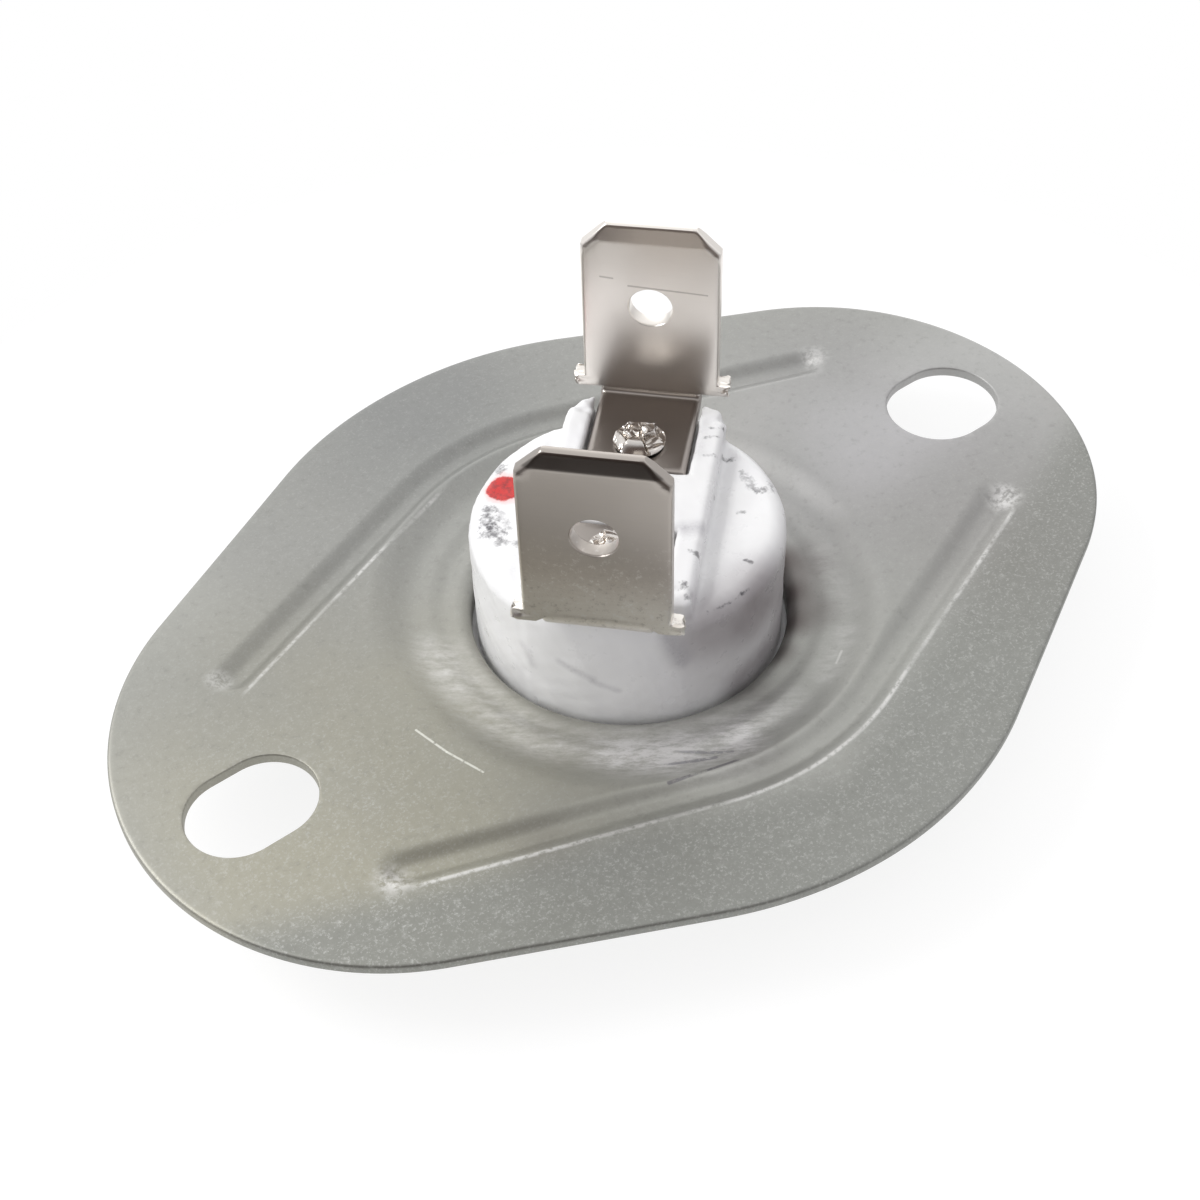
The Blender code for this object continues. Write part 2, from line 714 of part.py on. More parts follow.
def transfer_pin(material):
    low = disc_middle + disc_sheet + pin_play
    high = arm_bottom - 1.5 * seat_gap
    profile = [(0.0, high)]
    profile += arc(pin_radius - pin_tip, high - pin_tip, pin_tip, 90, 0, 3)
    profile += arc(pin_radius - pin_tip, low + pin_tip, pin_tip, 0, -90, 3)
    profile += [(0.0, low)]
    return turned("transfer_pin", profile, small_steps, material)


def bent_strip(points, radii, steps):
    # Outline of a strip that runs through the given points, with a round end or corner of its radius at each.
    # It follows the route's right side to the far end and back, with a mitre where the side is the inner one.
    outline = []
    count = len(points)
    walk = list(range(count)) + list(range(count - 2, 0, -1))
    for place, index in enumerate(walk):
        here = Vector(points[index])
        before = Vector(points[walk[place - 1]])
        after = Vector(points[walk[(place + 1) % len(walk)]])
        come = (here - before).normalized()
        leave = (after - here).normalized()
        start = math.atan2(-come.x, come.y)
        end = math.atan2(-leave.x, leave.y)
        turn = (end - start + math.pi) % (2 * math.pi) - math.pi
        if index in (0, count - 1):
            turn = math.pi
        arc_steps = max(1, round(steps * abs(turn) / math.pi))
        if turn < 0:
            middle = start + turn / 2
            reach = radii[index] / math.cos(turn / 2)
            outline.append((here.x + reach * math.cos(middle), here.y + reach * math.sin(middle)))
            continue
        for share in np.linspace(0.0, 1.0, arc_steps + 1):
            angle = start + share * turn
            outline.append((here.x + radii[index] * math.cos(angle), here.y + radii[index] * math.sin(angle)))
    return outline


def contact_arm(material):
    # A bent spring from the front rivet, over the pin, to the contact beside it. It turns about the rivet.
    route = [(0.0, 0.0), (0.0, rivet_offset), (contact_side, rivet_offset + contact_ahead)]
    outline = bent_strip(route, (arm_foot_radius, arm_half_width, arm_pad_radius), 10)
    holes = [circle(rivet_radius + run_gap, small_steps)]
    holes.append(circle(contact_tail_radius + seat_gap, small_steps, route[2]))
    arm = baked(flat_solid("contact_arm", [outline] + holes, arm_sheet, material))
    arm.rotation_euler = (0.0, 0.0, terminal_turn)
    arm.location = terminal_point(0.0, -rivet_offset, arm_bottom + arm_sheet / 2)
    return arm


def contact_strip(material):
    # Riveted under the ledge, and reaching beside the pin to carry the fixed contact.
    route = [(0.0, rivet_offset), (contact_side, contact_ahead)]
    outline = bent_strip(route, (strip_half_width, strip_half_width), 10)
    holes = [circle(rivet_radius + seat_gap, small_steps, route[0])]
    holes.append(circle(contact_tail_radius + seat_gap, small_steps, route[1]))
    strip = baked(flat_solid("contact_strip", [outline] + holes, strip_sheet, material))
    strip.rotation_euler = (0.0, 0.0, terminal_turn)
    strip.location = (0.0, 0.0, strip_bottom + strip_sheet / 2)
    return strip


def contact(name, face, back_of_sheet, upward, material):
    # A domed button whose tail passes through its sheet and is headed on the far side.
    sign = 1 if upward else -1
    seat = face - sign * contact_height
    far = back_of_sheet - sign * seat_gap
    profile = [
        (0.0, face),
        (contact_radius / 2, face - sign * contact_dome / 4),
        (contact_radius, face - sign * contact_dome),
        (contact_radius, seat),
        (contact_tail_radius, seat),
        (contact_tail_radius, far),
        (contact_tail_radius * 2, far),
        (contact_tail_radius * 2, far - sign * contact_tail_head),
        (0.0, far - sign * contact_tail_head),
    ]
    if not upward:
        profile.reverse()
    item = turned(name, profile, small_steps, material)
    item.location = terminal_point(contact_side, contact_ahead)
    return item


def build():
    clear_scene()
    zinc = make_material("zinc_plated_steel", (0.46, 0.47, 0.44), 0.42, 1.0)
    ceramic = make_material("white_ceramic", (0.86, 0.86, 0.88), 0.35, 0.0)
    guide_ceramic = make_material("guide_ceramic", (0.8, 0.78, 0.72), 0.5, 0.0)
    aluminium = make_material("aluminium", (0.72, 0.73, 0.74), 0.35, 1.0)
    nickel = make_material("nickel_plated_brass", (0.58, 0.54, 0.5), 0.25, 1.0)
    rivet_metal = make_material("plated_rivet", (0.75, 0.72, 0.68), 0.22, 1.0)
    spring = make_material("copper_spring", (0.7, 0.4, 0.2), 0.35, 1.0)
    bimetal = make_material("bimetal", (0.5, 0.48, 0.45), 0.4, 1.0)
    silver = make_material("silver", (0.85, 0.84, 0.82), 0.3, 1.0)
    mounting_plate(zinc)
    ceramic_body(ceramic)
    sensing_cap(aluminium)
    bimetal_disc(bimetal)
    pin_guide(guide_ceramic)
    transfer_pin(guide_ceramic)
    contact_arm(spring)
    contact_strip(nickel)
    contact("moving_contact", moving_face, arm_top, False, silver)
    contact("fixed_contact", fixed_face, strip_bottom, True, silver)
    terminal("front_terminal", -1, nickel)
    terminal("rear_terminal", 1, nickel)
    rivet("front_rivet", -1, arm_bottom - run_gap, rivet_metal)
    rivet("rear_rivet", 1, strip_bottom - seat_gap, rivet_metal)


build()
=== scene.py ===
import math

import bmesh
import bpy
import numpy as np
from mathutils import Matrix, Vector


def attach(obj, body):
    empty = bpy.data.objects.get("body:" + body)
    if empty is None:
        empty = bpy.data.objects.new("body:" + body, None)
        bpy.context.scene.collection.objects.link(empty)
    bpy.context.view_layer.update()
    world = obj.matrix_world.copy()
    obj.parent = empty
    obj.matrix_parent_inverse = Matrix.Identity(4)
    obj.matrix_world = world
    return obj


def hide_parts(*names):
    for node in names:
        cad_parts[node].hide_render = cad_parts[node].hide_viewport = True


# Looks for the thermal cut-off. Shapes are worked out in millimetres and scaled once, in makeMesh.
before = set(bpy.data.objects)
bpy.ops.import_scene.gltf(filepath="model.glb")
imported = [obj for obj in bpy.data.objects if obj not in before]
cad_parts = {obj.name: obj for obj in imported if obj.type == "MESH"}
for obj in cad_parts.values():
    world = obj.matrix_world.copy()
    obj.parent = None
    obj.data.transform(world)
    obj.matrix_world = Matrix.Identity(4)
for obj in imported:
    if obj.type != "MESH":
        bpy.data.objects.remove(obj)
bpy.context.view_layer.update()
print("frame loaded")

mm = 0.001

# Sizes that several pieces share, as the CAD has them.
shared = {
    "plateTop": 4.88,        # upper face of the plate
    "pocketFloor": 9.68,
    "blockTop": 10.68,
    "shoulderTop": 9.53,
    "footTop": 10.58,
    "tabTip": 19.92,
    "bodyRadius": 7.23,
    "rivetOffset": 3.65,
    "terminalTurn": math.radians(-47.7),  # from +Y to the axis that runs through both terminals
}


def gridFaces(rows, columns, closeRows=False, closeColumns=False):
    # quads between neighbours on a grid; a closed direction joins its last line to its first
    row, column = np.meshgrid(
        np.arange(rows if closeRows else rows - 1),
        np.arange(columns if closeColumns else columns - 1),
        indexing="ij",
    )
    nextRow = (row + 1) % rows
    nextColumn = (column + 1) % columns
    corners = (row * columns + column, row * columns + nextColumn,
               nextRow * columns + nextColumn, nextRow * columns + column)
    return np.stack(corners, axis=-1).reshape(-1, 4)


def makeMesh(name, points, faces, merge=0):
    # points are in millimetres, faces are rows of four corners
    mesh = bpy.data.meshes.new(name)
    mesh.vertices.add(len(points))
    mesh.vertices.foreach_set("co", np.ascontiguousarray(points * mm, dtype=np.float32).ravel())
    mesh.loops.add(faces.size)
    mesh.loops.foreach_set("vertex_index", np.ascontiguousarray(faces, dtype=np.int32).ravel())
    mesh.polygons.add(len(faces))
    mesh.polygons.foreach_set("loop_start", np.arange(len(faces), dtype=np.int32) * faces.shape[1])
    mesh.update(calc_edges=True)
    mesh.validate()
    item = bpy.data.objects.new(name, mesh)
    bpy.context.scene.collection.objects.link(item)
    if merge:
        weld(item, merge)
    return item


def weld(item, distance):
    # joins doubles and turns all faces outwards
    work = bmesh.new()
    work.from_mesh(item.data)
    bmesh.ops.remove_doubles(work, verts=work.verts, dist=distance * mm)
    bmesh.ops.dissolve_degenerate(work, edges=work.edges, dist=0.0005 * mm)
    bmesh.ops.recalc_face_normals(work, faces=work.faces)
    work.to_mesh(item.data)
    work.free()


def turnedPoints(profile, steps, wave=None):
    # a profile of radius and height carried round the Z axis; wave may change radius and height by angle
    radius, height = np.array(profile, dtype=float).T
    angle = np.linspace(0, 2 * math.pi, steps, endpoint=False)[:, None]
    radius = np.broadcast_to(radius, (steps, len(profile)))
    height = np.broadcast_to(height, (steps, len(profile)))
    if wave:
        radius, height = wave(angle, radius, height)
    return np.stack([radius * np.cos(angle), radius * np.sin(angle), height], axis=-1).reshape(-1, 3)


def arc(centreRadius, centreHeight, radius, start, end, count):
    # points of a rounded corner between two angles in degrees
    angle = np.radians(np.linspace(start, end, count + 1))
    return [(centreRadius + radius * math.cos(a), centreHeight + radius * math.sin(a)) for a in angle]


def smooth(value):
    value = np.clip(value, 0, 1)
    return value * value * (3 - 2 * value)


def turnTo(points, along):
    # turns points drawn with the terminal axis along +Y to their place; along -1 is the front terminal
    angle = shared["terminalTurn"] + (math.pi if along < 0 else 0)
    cos, sin = math.cos(angle), math.sin(angle)
    x, y, z = points.T
    return np.stack([x * cos - y * sin, x * sin + y * cos, z], axis=1)


def ripple(points, size, seed, count=10):
    # smooth random field: the mean of sine waves in random directions, about one wave per size
    source = np.random.default_rng(seed)
    directions = source.normal(size=(count, 3))
    directions /= np.linalg.norm(directions, axis=1, keepdims=True)
    lengths = source.uniform(0.6, 1.6, count) * 2 * math.pi / size
    phases = source.uniform(0, 2 * math.pi, count)
    total = np.zeros(points.shape[:-1])
    for direction, length, phase in zip(directions, lengths, phases):
        total += np.sin(points @ direction * length + phase)
    return total / math.sqrt(count)


def ringTool(name, rings, low, high):
    # a closed tool through the rings in their order, drawn together in a point at each end
    rows = [np.broadcast_to(low, rings[0].shape), *rings, np.broadcast_to(high, rings[0].shape)]
    grid = np.stack(rows, axis=1)
    return makeMesh(name, grid.reshape(-1, 3), gridFaces(*grid.shape[:2], True, False), merge=0.002)


def cut(item, tool):
    # takes the tool out of the item for good, and removes the tool
    modifier = item.modifiers.new("cut", "BOOLEAN")
    modifier.operation = "DIFFERENCE"
    modifier.solver = "MANIFOLD"
    modifier.object = tool
    mesh = bpy.data.meshes.new_from_object(item.evaluated_get(bpy.context.evaluated_depsgraph_get()))
    item.modifiers.clear()
    item.data = mesh
    bpy.data.objects.remove(tool, do_unlink=True)


def finish(item, material, body, nodes, sharp=35):
    item.data.materials.clear()
    item.data.materials.append(material)
    item.data.shade_smooth()
    item.data.set_sharp_from_angle(angle=math.radians(sharp))
    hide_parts(*nodes)
    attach(item, body)
    print(item.name, len(item.data.polygons), "faces")
    return item


class Value:
    # wraps a socket, so that arithmetic on it adds Math nodes
    def __init__(self, graph, socket):
        self.graph = graph
        self.socket = socket

    def math(self, operation, *others, clamp=False):
        return self.graph.add("ShaderNodeMath", {"operation": operation, "use_clamp": clamp}, self, *others)

    def __add__(self, other):
        return self.math("ADD", other)

    __radd__ = __add__

    def __sub__(self, other):
        return self.math("SUBTRACT", other)

    def __rsub__(self, other):
        return self.graph.add("ShaderNodeMath", {"operation": "SUBTRACT"}, other, self)

    def __mul__(self, other):
        return self.math("MULTIPLY", other)

    __rmul__ = __mul__

    def clamp(self):
        return self.math("ADD", 0, clamp=True)

    def band(self, low, high):
        # the size of the value, whatever its sign, as a step
        return self.math("ABSOLUTE").step(low, high)

    def step(self, low, high):
        # 0 at low and 1 at high, with a smooth run between them
        return self.graph.add("ShaderNodeMapRange", {"interpolation_type": "SMOOTHSTEP"}, self, low, high)


class Graph:
    # the nodes of a material or of the world
    def __init__(self, owner):
        owner.use_nodes = True
        self.owner = owner
        self.tree = owner.node_tree

    def add(self, kind, settings=None, *values, out=0, **sockets):
        # a node of any kind, with its settings and what goes into its sockets, by number or by name
        node = self.tree.nodes.new(kind)
        for key, value in (settings or {}).items():
            setattr(node, key, value)
        for place, value in [*enumerate(values), *sockets.items()]:
            self.put(node.inputs[place], value)
        return Value(self, node.outputs[out])

    def put(self, socket, value):
        if isinstance(value, Value):
            self.tree.links.new(value.socket, socket)
        elif value is not None:
            if socket.type == "RGBA" and len(value) == 3:
                value = (*value, 1)
            socket.default_value = value

    def vector(self, operation, first, second=None, scale=None, out=0):
        return self.add("ShaderNodeVectorMath", {"operation": operation}, first, second, None, scale, out=out)

    def mix(self, factor, first, second):
        # the colour sockets of a Mix node are its inputs 6 and 7 and its output 2
        skipped = [None] * 5
        return self.add("ShaderNodeMix", {"data_type": "RGBA"}, factor, *skipped, first, second, out=2)

    def rays(self):
        # 1 for rays from the camera, in reflections and through glass
        path = self.add("ShaderNodeLightPath", out="Is Camera Ray")
        outputs = path.socket.node.outputs
        glossy, through = (Value(self, outputs[k]) for k in ("Is Glossy Ray", "Is Transmission Ray"))
        return (path + glossy + through).clamp()


class Surface(Graph):
    # a piece's material; where is the place on the object in millimetres
    def __init__(self, name):
        super().__init__(bpy.data.materials.new(name))
        self.shader = self.tree.nodes["Principled BSDF"]
        place = self.add("ShaderNodeTexCoord", out="Object")
        self.where = self.vector("SCALE", place, scale=1 / mm)
        self.x, self.y, self.z = (self.add("ShaderNodeSeparateXYZ", None, self.where, out=i) for i in range(3))

    def stretched(self, scale, turn):
        # the place, turned about Z and then scaled by each axis
        turned = self.add("ShaderNodeMapping", None, self.where, Rotation=(0, 0, turn))
        return self.add("ShaderNodeMapping", None, turned, Scale=scale)

    def noise(self, size, detail=3, rough=0.5, where=None):
        # noise whose main lumps are about the given size in millimetres
        return self.add("ShaderNodeTexNoise", None, Vector=where or self.where, Scale=1 / size,
                        Detail=detail, Roughness=rough)

    def spot(self, point, reach, soft):
        # 1 inside a ball about the point, falling to 0 over the soft distance
        distance = self.vector("DISTANCE", self.where, point, out="Value")
        return distance.step(reach + soft, reach)

    def line(self, start, end, reach, soft):
        # 1 within reach of the line from start to end, falling to 0 over the soft distance
        start, end = Vector(start), Vector(end)
        run = end - start
        offset = self.vector("SUBTRACT", self.where, tuple(start))
        share = self.vector("DOT_PRODUCT", offset, tuple(run / run.length_squared), out="Value").clamp()
        nearest = self.vector("SCALE", tuple(run), scale=share)
        distance = self.vector("DISTANCE", offset, nearest, out="Value")
        return distance.step(reach + soft, reach)

    def bump(self, height, distance, strength):
        # the height, of 0 to about 1, times the distance in millimetres
        return self.add("ShaderNodeBump", None, Strength=strength, Distance=distance * mm, Height=height)

    def finish(self, **sockets):
        for name, value in sockets.items():
            self.put(self.shader.inputs[name.replace("_", " ")], value)
        return self.owner


def darker(colour, share):
    return tuple(v * share for v in colour)


plate = {
    "sheet": 0.5,
    "endRadius": 13.2,
    "endOffset": 12.55,
    "sideRadius": 18.9,
    "dishRadius": 12.2,
    "dishFloor": 10.1,
    "dishDepth": 0.68,
    "ringRadius": 9.1,
    "ringStep": 0.16,
    "ringEdge": 0.9,
    "collarInner": 7.5,
    "collarBend": 0.7,
    "collarBottom": 2.63,
    "grooveRadius": 12.5,
    "grooveHalf": 1.08,
    "grooveDepth": 0.4,
    "grooveFloor": 0.15,
    "grooveSlope": math.radians(20.5),
    "grooveTip": 17.35,
    "holes": ((-20.6, 6, 4.6), (20.6, 5.85, 5.05)),  # middle, length and width of each slot
    "grooveTurn": math.radians(49.5),  # the rings follow a groove no further than this past its bend
    "angles": 440,
    "collarRows": 5,
    "bendRows": 9,
    "marks": (8.6, 9.6, 10, 11.05),  # radii at which the spacing of the rings changes
    "lipReach": 1.25,        # the rings are closest within this of a groove's line
    "rings": ((4, 1), (16, 1), (4, 1), (8, 1), (18, 1.4), (26, 1), (30, 1)),  # count, crowding
    "edgeInset": 0.2,
    "edge": ((0.11, 0.012), (0.045, 0.05), (0.01, 0.11), (0, 0.2), (0, 0.42), (0.02, 0.48), (0.06, 0.5)),
    "slotSteps": 40,
    "punch": (               # height from the upper face and how far the slot's wall stands back
        (-1, 0), (-0.5, 0), (-0.12, 0), (-0.06, 0.012),
        (-0.02, 0.04), (0, 0.08), (0.04, 0.16), (0.5, 0.6),
    ),
    "waviness": 0.02,
    "waveLength": 16,
    "tones": {
        "plain": (0.415, 0.415, 0.39),
        "olive": (0.385, 0.37, 0.3),
        "lavender": (0.43, 0.42, 0.43),
        "front": (0.27, 0.275, 0.255),
        "cloud": (0.33, 0.335, 0.32),
        "speckle": (0.62, 0.62, 0.6),
        "pit": (0.2, 0.2, 0.185),
        # colour of the painted shadow beside the ceramic
        "shadowBrown": (0.13, 0.11, 0.105),
        # painted highlight colour, also used for the partly rubbed bands in the dish
        "highlightAndRub": (0.82, 0.81, 0.8),
    },
    "metallic": 0.82,
    "rough": 0.52,
    "lipHighlight": (0.97, 0.16, 0.03),  # the painted highlight line's place in the groove's half width, its soft and full width
    "brush": ((0.4, 1.2, 1), math.radians(36.6)),  # stretch and direction of the streaks in the dish's bands
    "tips": (                # place, reach and strength of the painted highlight spots at the groove tips
        ((-18, -7.1, 4.8), 1, 0.65),
        ((18, -6.9, 4.8), 1, 0.65),
        ((-18, 7.1, 4.8), 0.8, 0.4),
        ((18.1, 7, 4.8), 0.9, 0.4),
    ),
    "scuffs": (              # bands in the dish, partly rubbed wear and partly a painted reflection of the bright light behind: start, end, reach, strength
        ((-8.3, -5.4, 4.1), (-6.3, -7.6, 4.1), 0.9, 0.35),
        ((-6.3, -7.4, 4.1), (-4.2, -8.9, 4.1), 0.9, 0.7),
        ((-4.2, -8.9, 4.1), (-1.6, -9.8, 4.2), 1, 0.75),
        ((-4.9, -9.9, 4.3), (-2.2, -11, 4.6), 0.9, 0.5),
        ((-1.6, -9.8, 4.2), (1.4, -9.7, 4.2), 0.9, 0.4),
        ((3.9, -9.6, 4.2), (6.2, -8.3, 4.2), 0.7, 0.3),
        ((7.4, -7, 4.2), (9, -3.6, 4.1), 0.7, 0.2),
        ((-9.9, 0.6, 4.3), (-9.2, 3.6, 4.2), 0.6, 0.25),
        ((-9.2, -2.2, 4.1), (-9, 2, 4.1), 1.4, 0.5),
        ((-8.6, -4.2, 4.1), (-5.5, -7.8, 4.1), 1.5, 0.5),
        ((-5.5, -7.8, 4.1), (-1.5, -9.3, 4.1), 1.7, 0.6),
    ),
    "clouds": (              # broad changes of the zinc's tone: place, reach, strength, colour
        ((-9, 13, 4.9), 9, 0.45, (0.24, 0.24, 0.235)),
        ((0, 17.5, 4.9), 9, 0.6, (0.2, 0.205, 0.21)),
        ((-14, 5, 4.9), 7, 0.35, (0.25, 0.25, 0.235)),
        ((-13, -4, 4.9), 6, 0.3, (0.26, 0.26, 0.23)),
        ((10, 14, 4.9), 8, 0.35, (0.25, 0.25, 0.25)),
        ((19, 9, 4.9), 6, 0.35, (0.27, 0.27, 0.265)),
        ((-20.5, 7, 4.9), 6, 0.35, (0.28, 0.28, 0.26)),
        ((16, 0.3, 4.9), 4.5, 0.5, (0.58, 0.57, 0.59)),
        ((23.5, 1.5, 4.9), 5, 0.45, (0.55, 0.55, 0.54)),
        ((16, -8, 4.9), 8, 0.35, (0.25, 0.24, 0.22)),
    ),
    "shadowBrown": (             # painted brown shadow beside the ceramic, and two faint brown spots further out: place, reach, strength
        ((7.5, -3.6, 4), 2.6, 0.6),
        ((5.9, -5.9, 3.9), 2.3, 0.6),
        ((7.2, -2.6, 3.8), 1.5, 0.9),
        ((6.2, -4.5, 3.8), 1.5, 0.95),
        ((4.8, -5.9, 3.8), 1.5, 0.95),
        ((3.2, -6.9, 3.8), 1.4, 0.8),
        ((0.5, -8.2, 4), 1.8, 0.3),
        ((-2, -11.3, 4.4), 2.2, 0.25),
        ((-12.2, -9.4, 4.6), 2.5, 0.2),
    ),
    "scratches": (           # start, end, reach, strength, colour
        ((-12.79, -1.03, 4.88), (-12.45, -2.9, 4.88), 0.035, 0.75, (0.8, 0.8, 0.74)),
        ((-12.45, -2.9, 4.88), (-11.87, -4.81, 4.88), 0.035, 0.75, (0.8, 0.8, 0.74)),
        ((-5.98, -10.26, 4.77), (-2.81, -11.11, 4.67), 0.06, 0.7, (0.16, 0.15, 0.17)),
        ((-5.2, -9.1, 4.15), (-3.3, -10.2, 4.3), 0.08, 0.6, (0.2, 0.19, 0.23)),
        ((-4.4, -8.7, 4.1), (-2.5, -10.4, 4.3), 0.06, 0.5, (0.2, 0.19, 0.23)),
        ((4.6, -9.4, 4.2), (5.3, -9, 4.2), 0.05, 0.4, (0.8, 0.8, 0.78)),
    ),
}


def outlineRadius(angle):
    # distance from the middle to the hull of three circles, by angle: end circle, tangent line, middle circle
    folded = np.arctan2(np.abs(np.sin(angle)), np.abs(np.cos(angle)))
    centre, end, side = plate["endOffset"], plate["endRadius"], plate["sideRadius"]
    touch = math.acos((side - end) / centre)
    change = math.atan2(end * math.sin(touch), centre + end * math.cos(touch))
    circle = centre * np.cos(folded) + np.sqrt(end ** 2 - (centre * np.sin(folded)) ** 2 * (folded < change))
    line = side / np.cos(np.minimum(np.abs(folded - touch), 1))
    return np.where(folded < change, circle, np.where(folded < touch, line, side))


def grooveLine(angle):
    # 1 / cosine of the turn along a groove, so that (grooveRadius + a) times it is a line beside the groove
    fromSide = math.pi / 2 - np.arctan2(np.abs(np.sin(angle)), np.abs(np.cos(angle)))
    turn = np.clip(fromSide - plate["grooveSlope"], 0, None)
    return 1 / np.cos(np.minimum(turn, plate["grooveTurn"]))


def grooveDistance(x, y):
    # distance from the nearer groove's centreline; all four arms fold onto one
    x, y = np.abs(x), -np.abs(y)
    slope = plate["grooveSlope"]
    ahead, aside = math.cos(slope), math.sin(slope)
    startX, startY = plate["grooveRadius"] * aside, -plate["grooveRadius"] * ahead
    length = (plate["grooveTip"] - startX) / ahead
    travel = np.clip((x - startX) * ahead + (y - startY) * aside, 0, length)
    arm = np.hypot(x - startX - travel * ahead, y - startY - travel * aside)
    middle = np.abs(np.hypot(x, y) - plate["grooveRadius"])
    return np.where(np.arctan2(x, -y) < slope, middle, arm)


def pressDepth(x, y):
    # the dish's smooth step and the coined ring's step, joined to the grooves' smooth step by root of squares
    p = plate
    radius = np.hypot(x, y)
    dish = p["dishDepth"] * smooth((p["dishRadius"] - radius) / (p["dishRadius"] - p["dishFloor"]))
    ring = p["ringStep"] * smooth((p["ringRadius"] + p["ringEdge"] / 2 - radius) / p["ringEdge"])
    across = grooveDistance(x, y) / p["grooveHalf"]
    groove = p["grooveDepth"] * smooth((1 - across) / (1 - p["grooveFloor"]))
    return np.sqrt((dish + ring) ** 2 + groove ** 2)


def plateFace(angle, below, skip):
    # one face of the sheet as radius and height by angle: up the collar, round its bend, then outwards at the
    # plate's height less the press depth, on rings that pass from circles to the grooves to the outline
    p = plate
    bendStart = p["collarInner"] + p["collarBend"]
    bend = p["collarBend"] - below
    ringTop = shared["plateTop"] - p["dishDepth"] - p["ringStep"]
    bendBase = ringTop - p["collarBend"]
    radius = [np.full_like(angle, bendStart - bend)] * (p["collarRows"] - 1)
    height = [np.full_like(angle, z) for z in np.linspace(p["collarBottom"], bendBase, p["collarRows"])[:-1]]
    for w in np.radians(np.linspace(90, 0, p["bendRows"]))[::skip][:-1]:
        radius.append(np.full_like(angle, bendStart - bend * math.sin(w)))
        height.append(np.full_like(angle, bendBase + bend * math.cos(w)))
    near, far = ((p["grooveRadius"] + way * p["lipReach"]) * grooveLine(angle) for way in (-1, 1))
    rim = outlineRadius(angle) - p["edgeInset"]
    stops = [bendStart, *p["marks"], near, far, rim]
    flat = []
    for start, end, (count, crowding) in zip(stops, stops[1:], p["rings"]):
        flat += [start + (end - start) * s + 0 * angle for s in (np.arange(0, count, skip) / count) ** crowding]
    for r in [*flat, rim]:
        x, y = r * np.cos(angle), r * np.sin(angle)
        place = np.stack([x, y, np.zeros_like(x)], axis=-1)
        wave = p["waviness"] * ripple(place, p["waveLength"], 3) * smooth((r - 13) / 4)
        radius.append(r)
        height.append(shared["plateTop"] - pressDepth(x, y) - below + wave)
    return np.stack(radius, axis=1), np.stack(height, axis=1)


def makePlate():
    # a closed section, upper face out, rounded edge, lower face back, carried round the Z axis
    p = plate
    angle = np.linspace(0, 2 * math.pi, p["angles"], endpoint=False)
    upperRadius, upperHeight = plateFace(angle, 0, 1)
    lowerRadius, lowerHeight = plateFace(angle, p["sheet"], 2)
    outline = outlineRadius(angle)
    edgeRadius = np.stack([outline - inset for inset, _ in p["edge"]], axis=1)
    edgeHeight = np.stack([upperHeight[:, -1] - drop for _, drop in p["edge"]], axis=1)
    radius = np.concatenate([upperRadius, edgeRadius, lowerRadius[:, ::-1]], axis=1)
    height = np.concatenate([upperHeight, edgeHeight, lowerHeight[:, ::-1]], axis=1)
    turn = angle[:, None]
    points = np.stack([radius * np.cos(turn), radius * np.sin(turn), height], axis=-1)
    item = makeMesh("plate_pressing", points.reshape(-1, 3), gridFaces(*radius.shape, True, True))
    for hole in p["holes"]:
        cut(item, slotCutter(*hole))
    return item


def slotCutter(middle, length, width):
    # a slot's outline, set back where the punch rounds the upper edge, carried through the sheet
    top = shared["plateTop"]
    angle = np.linspace(-math.pi / 2, math.pi / 2, plate["slotSteps"])
    turn = np.concatenate([angle, angle + math.pi])
    centre = middle + (length - width) / 2 * np.repeat((1, -1), len(angle))
    rings = []
    for rise, back in plate["punch"]:
        r = width / 2 + back
        rings.append(np.stack([centre + r * np.cos(turn), r * np.sin(turn), 0 * turn + top + rise], axis=1))
    low, high = ((middle, 0, top + plate["punch"][i][0]) for i in (0, -1))
    return ringTool("slot", rings, low, high)


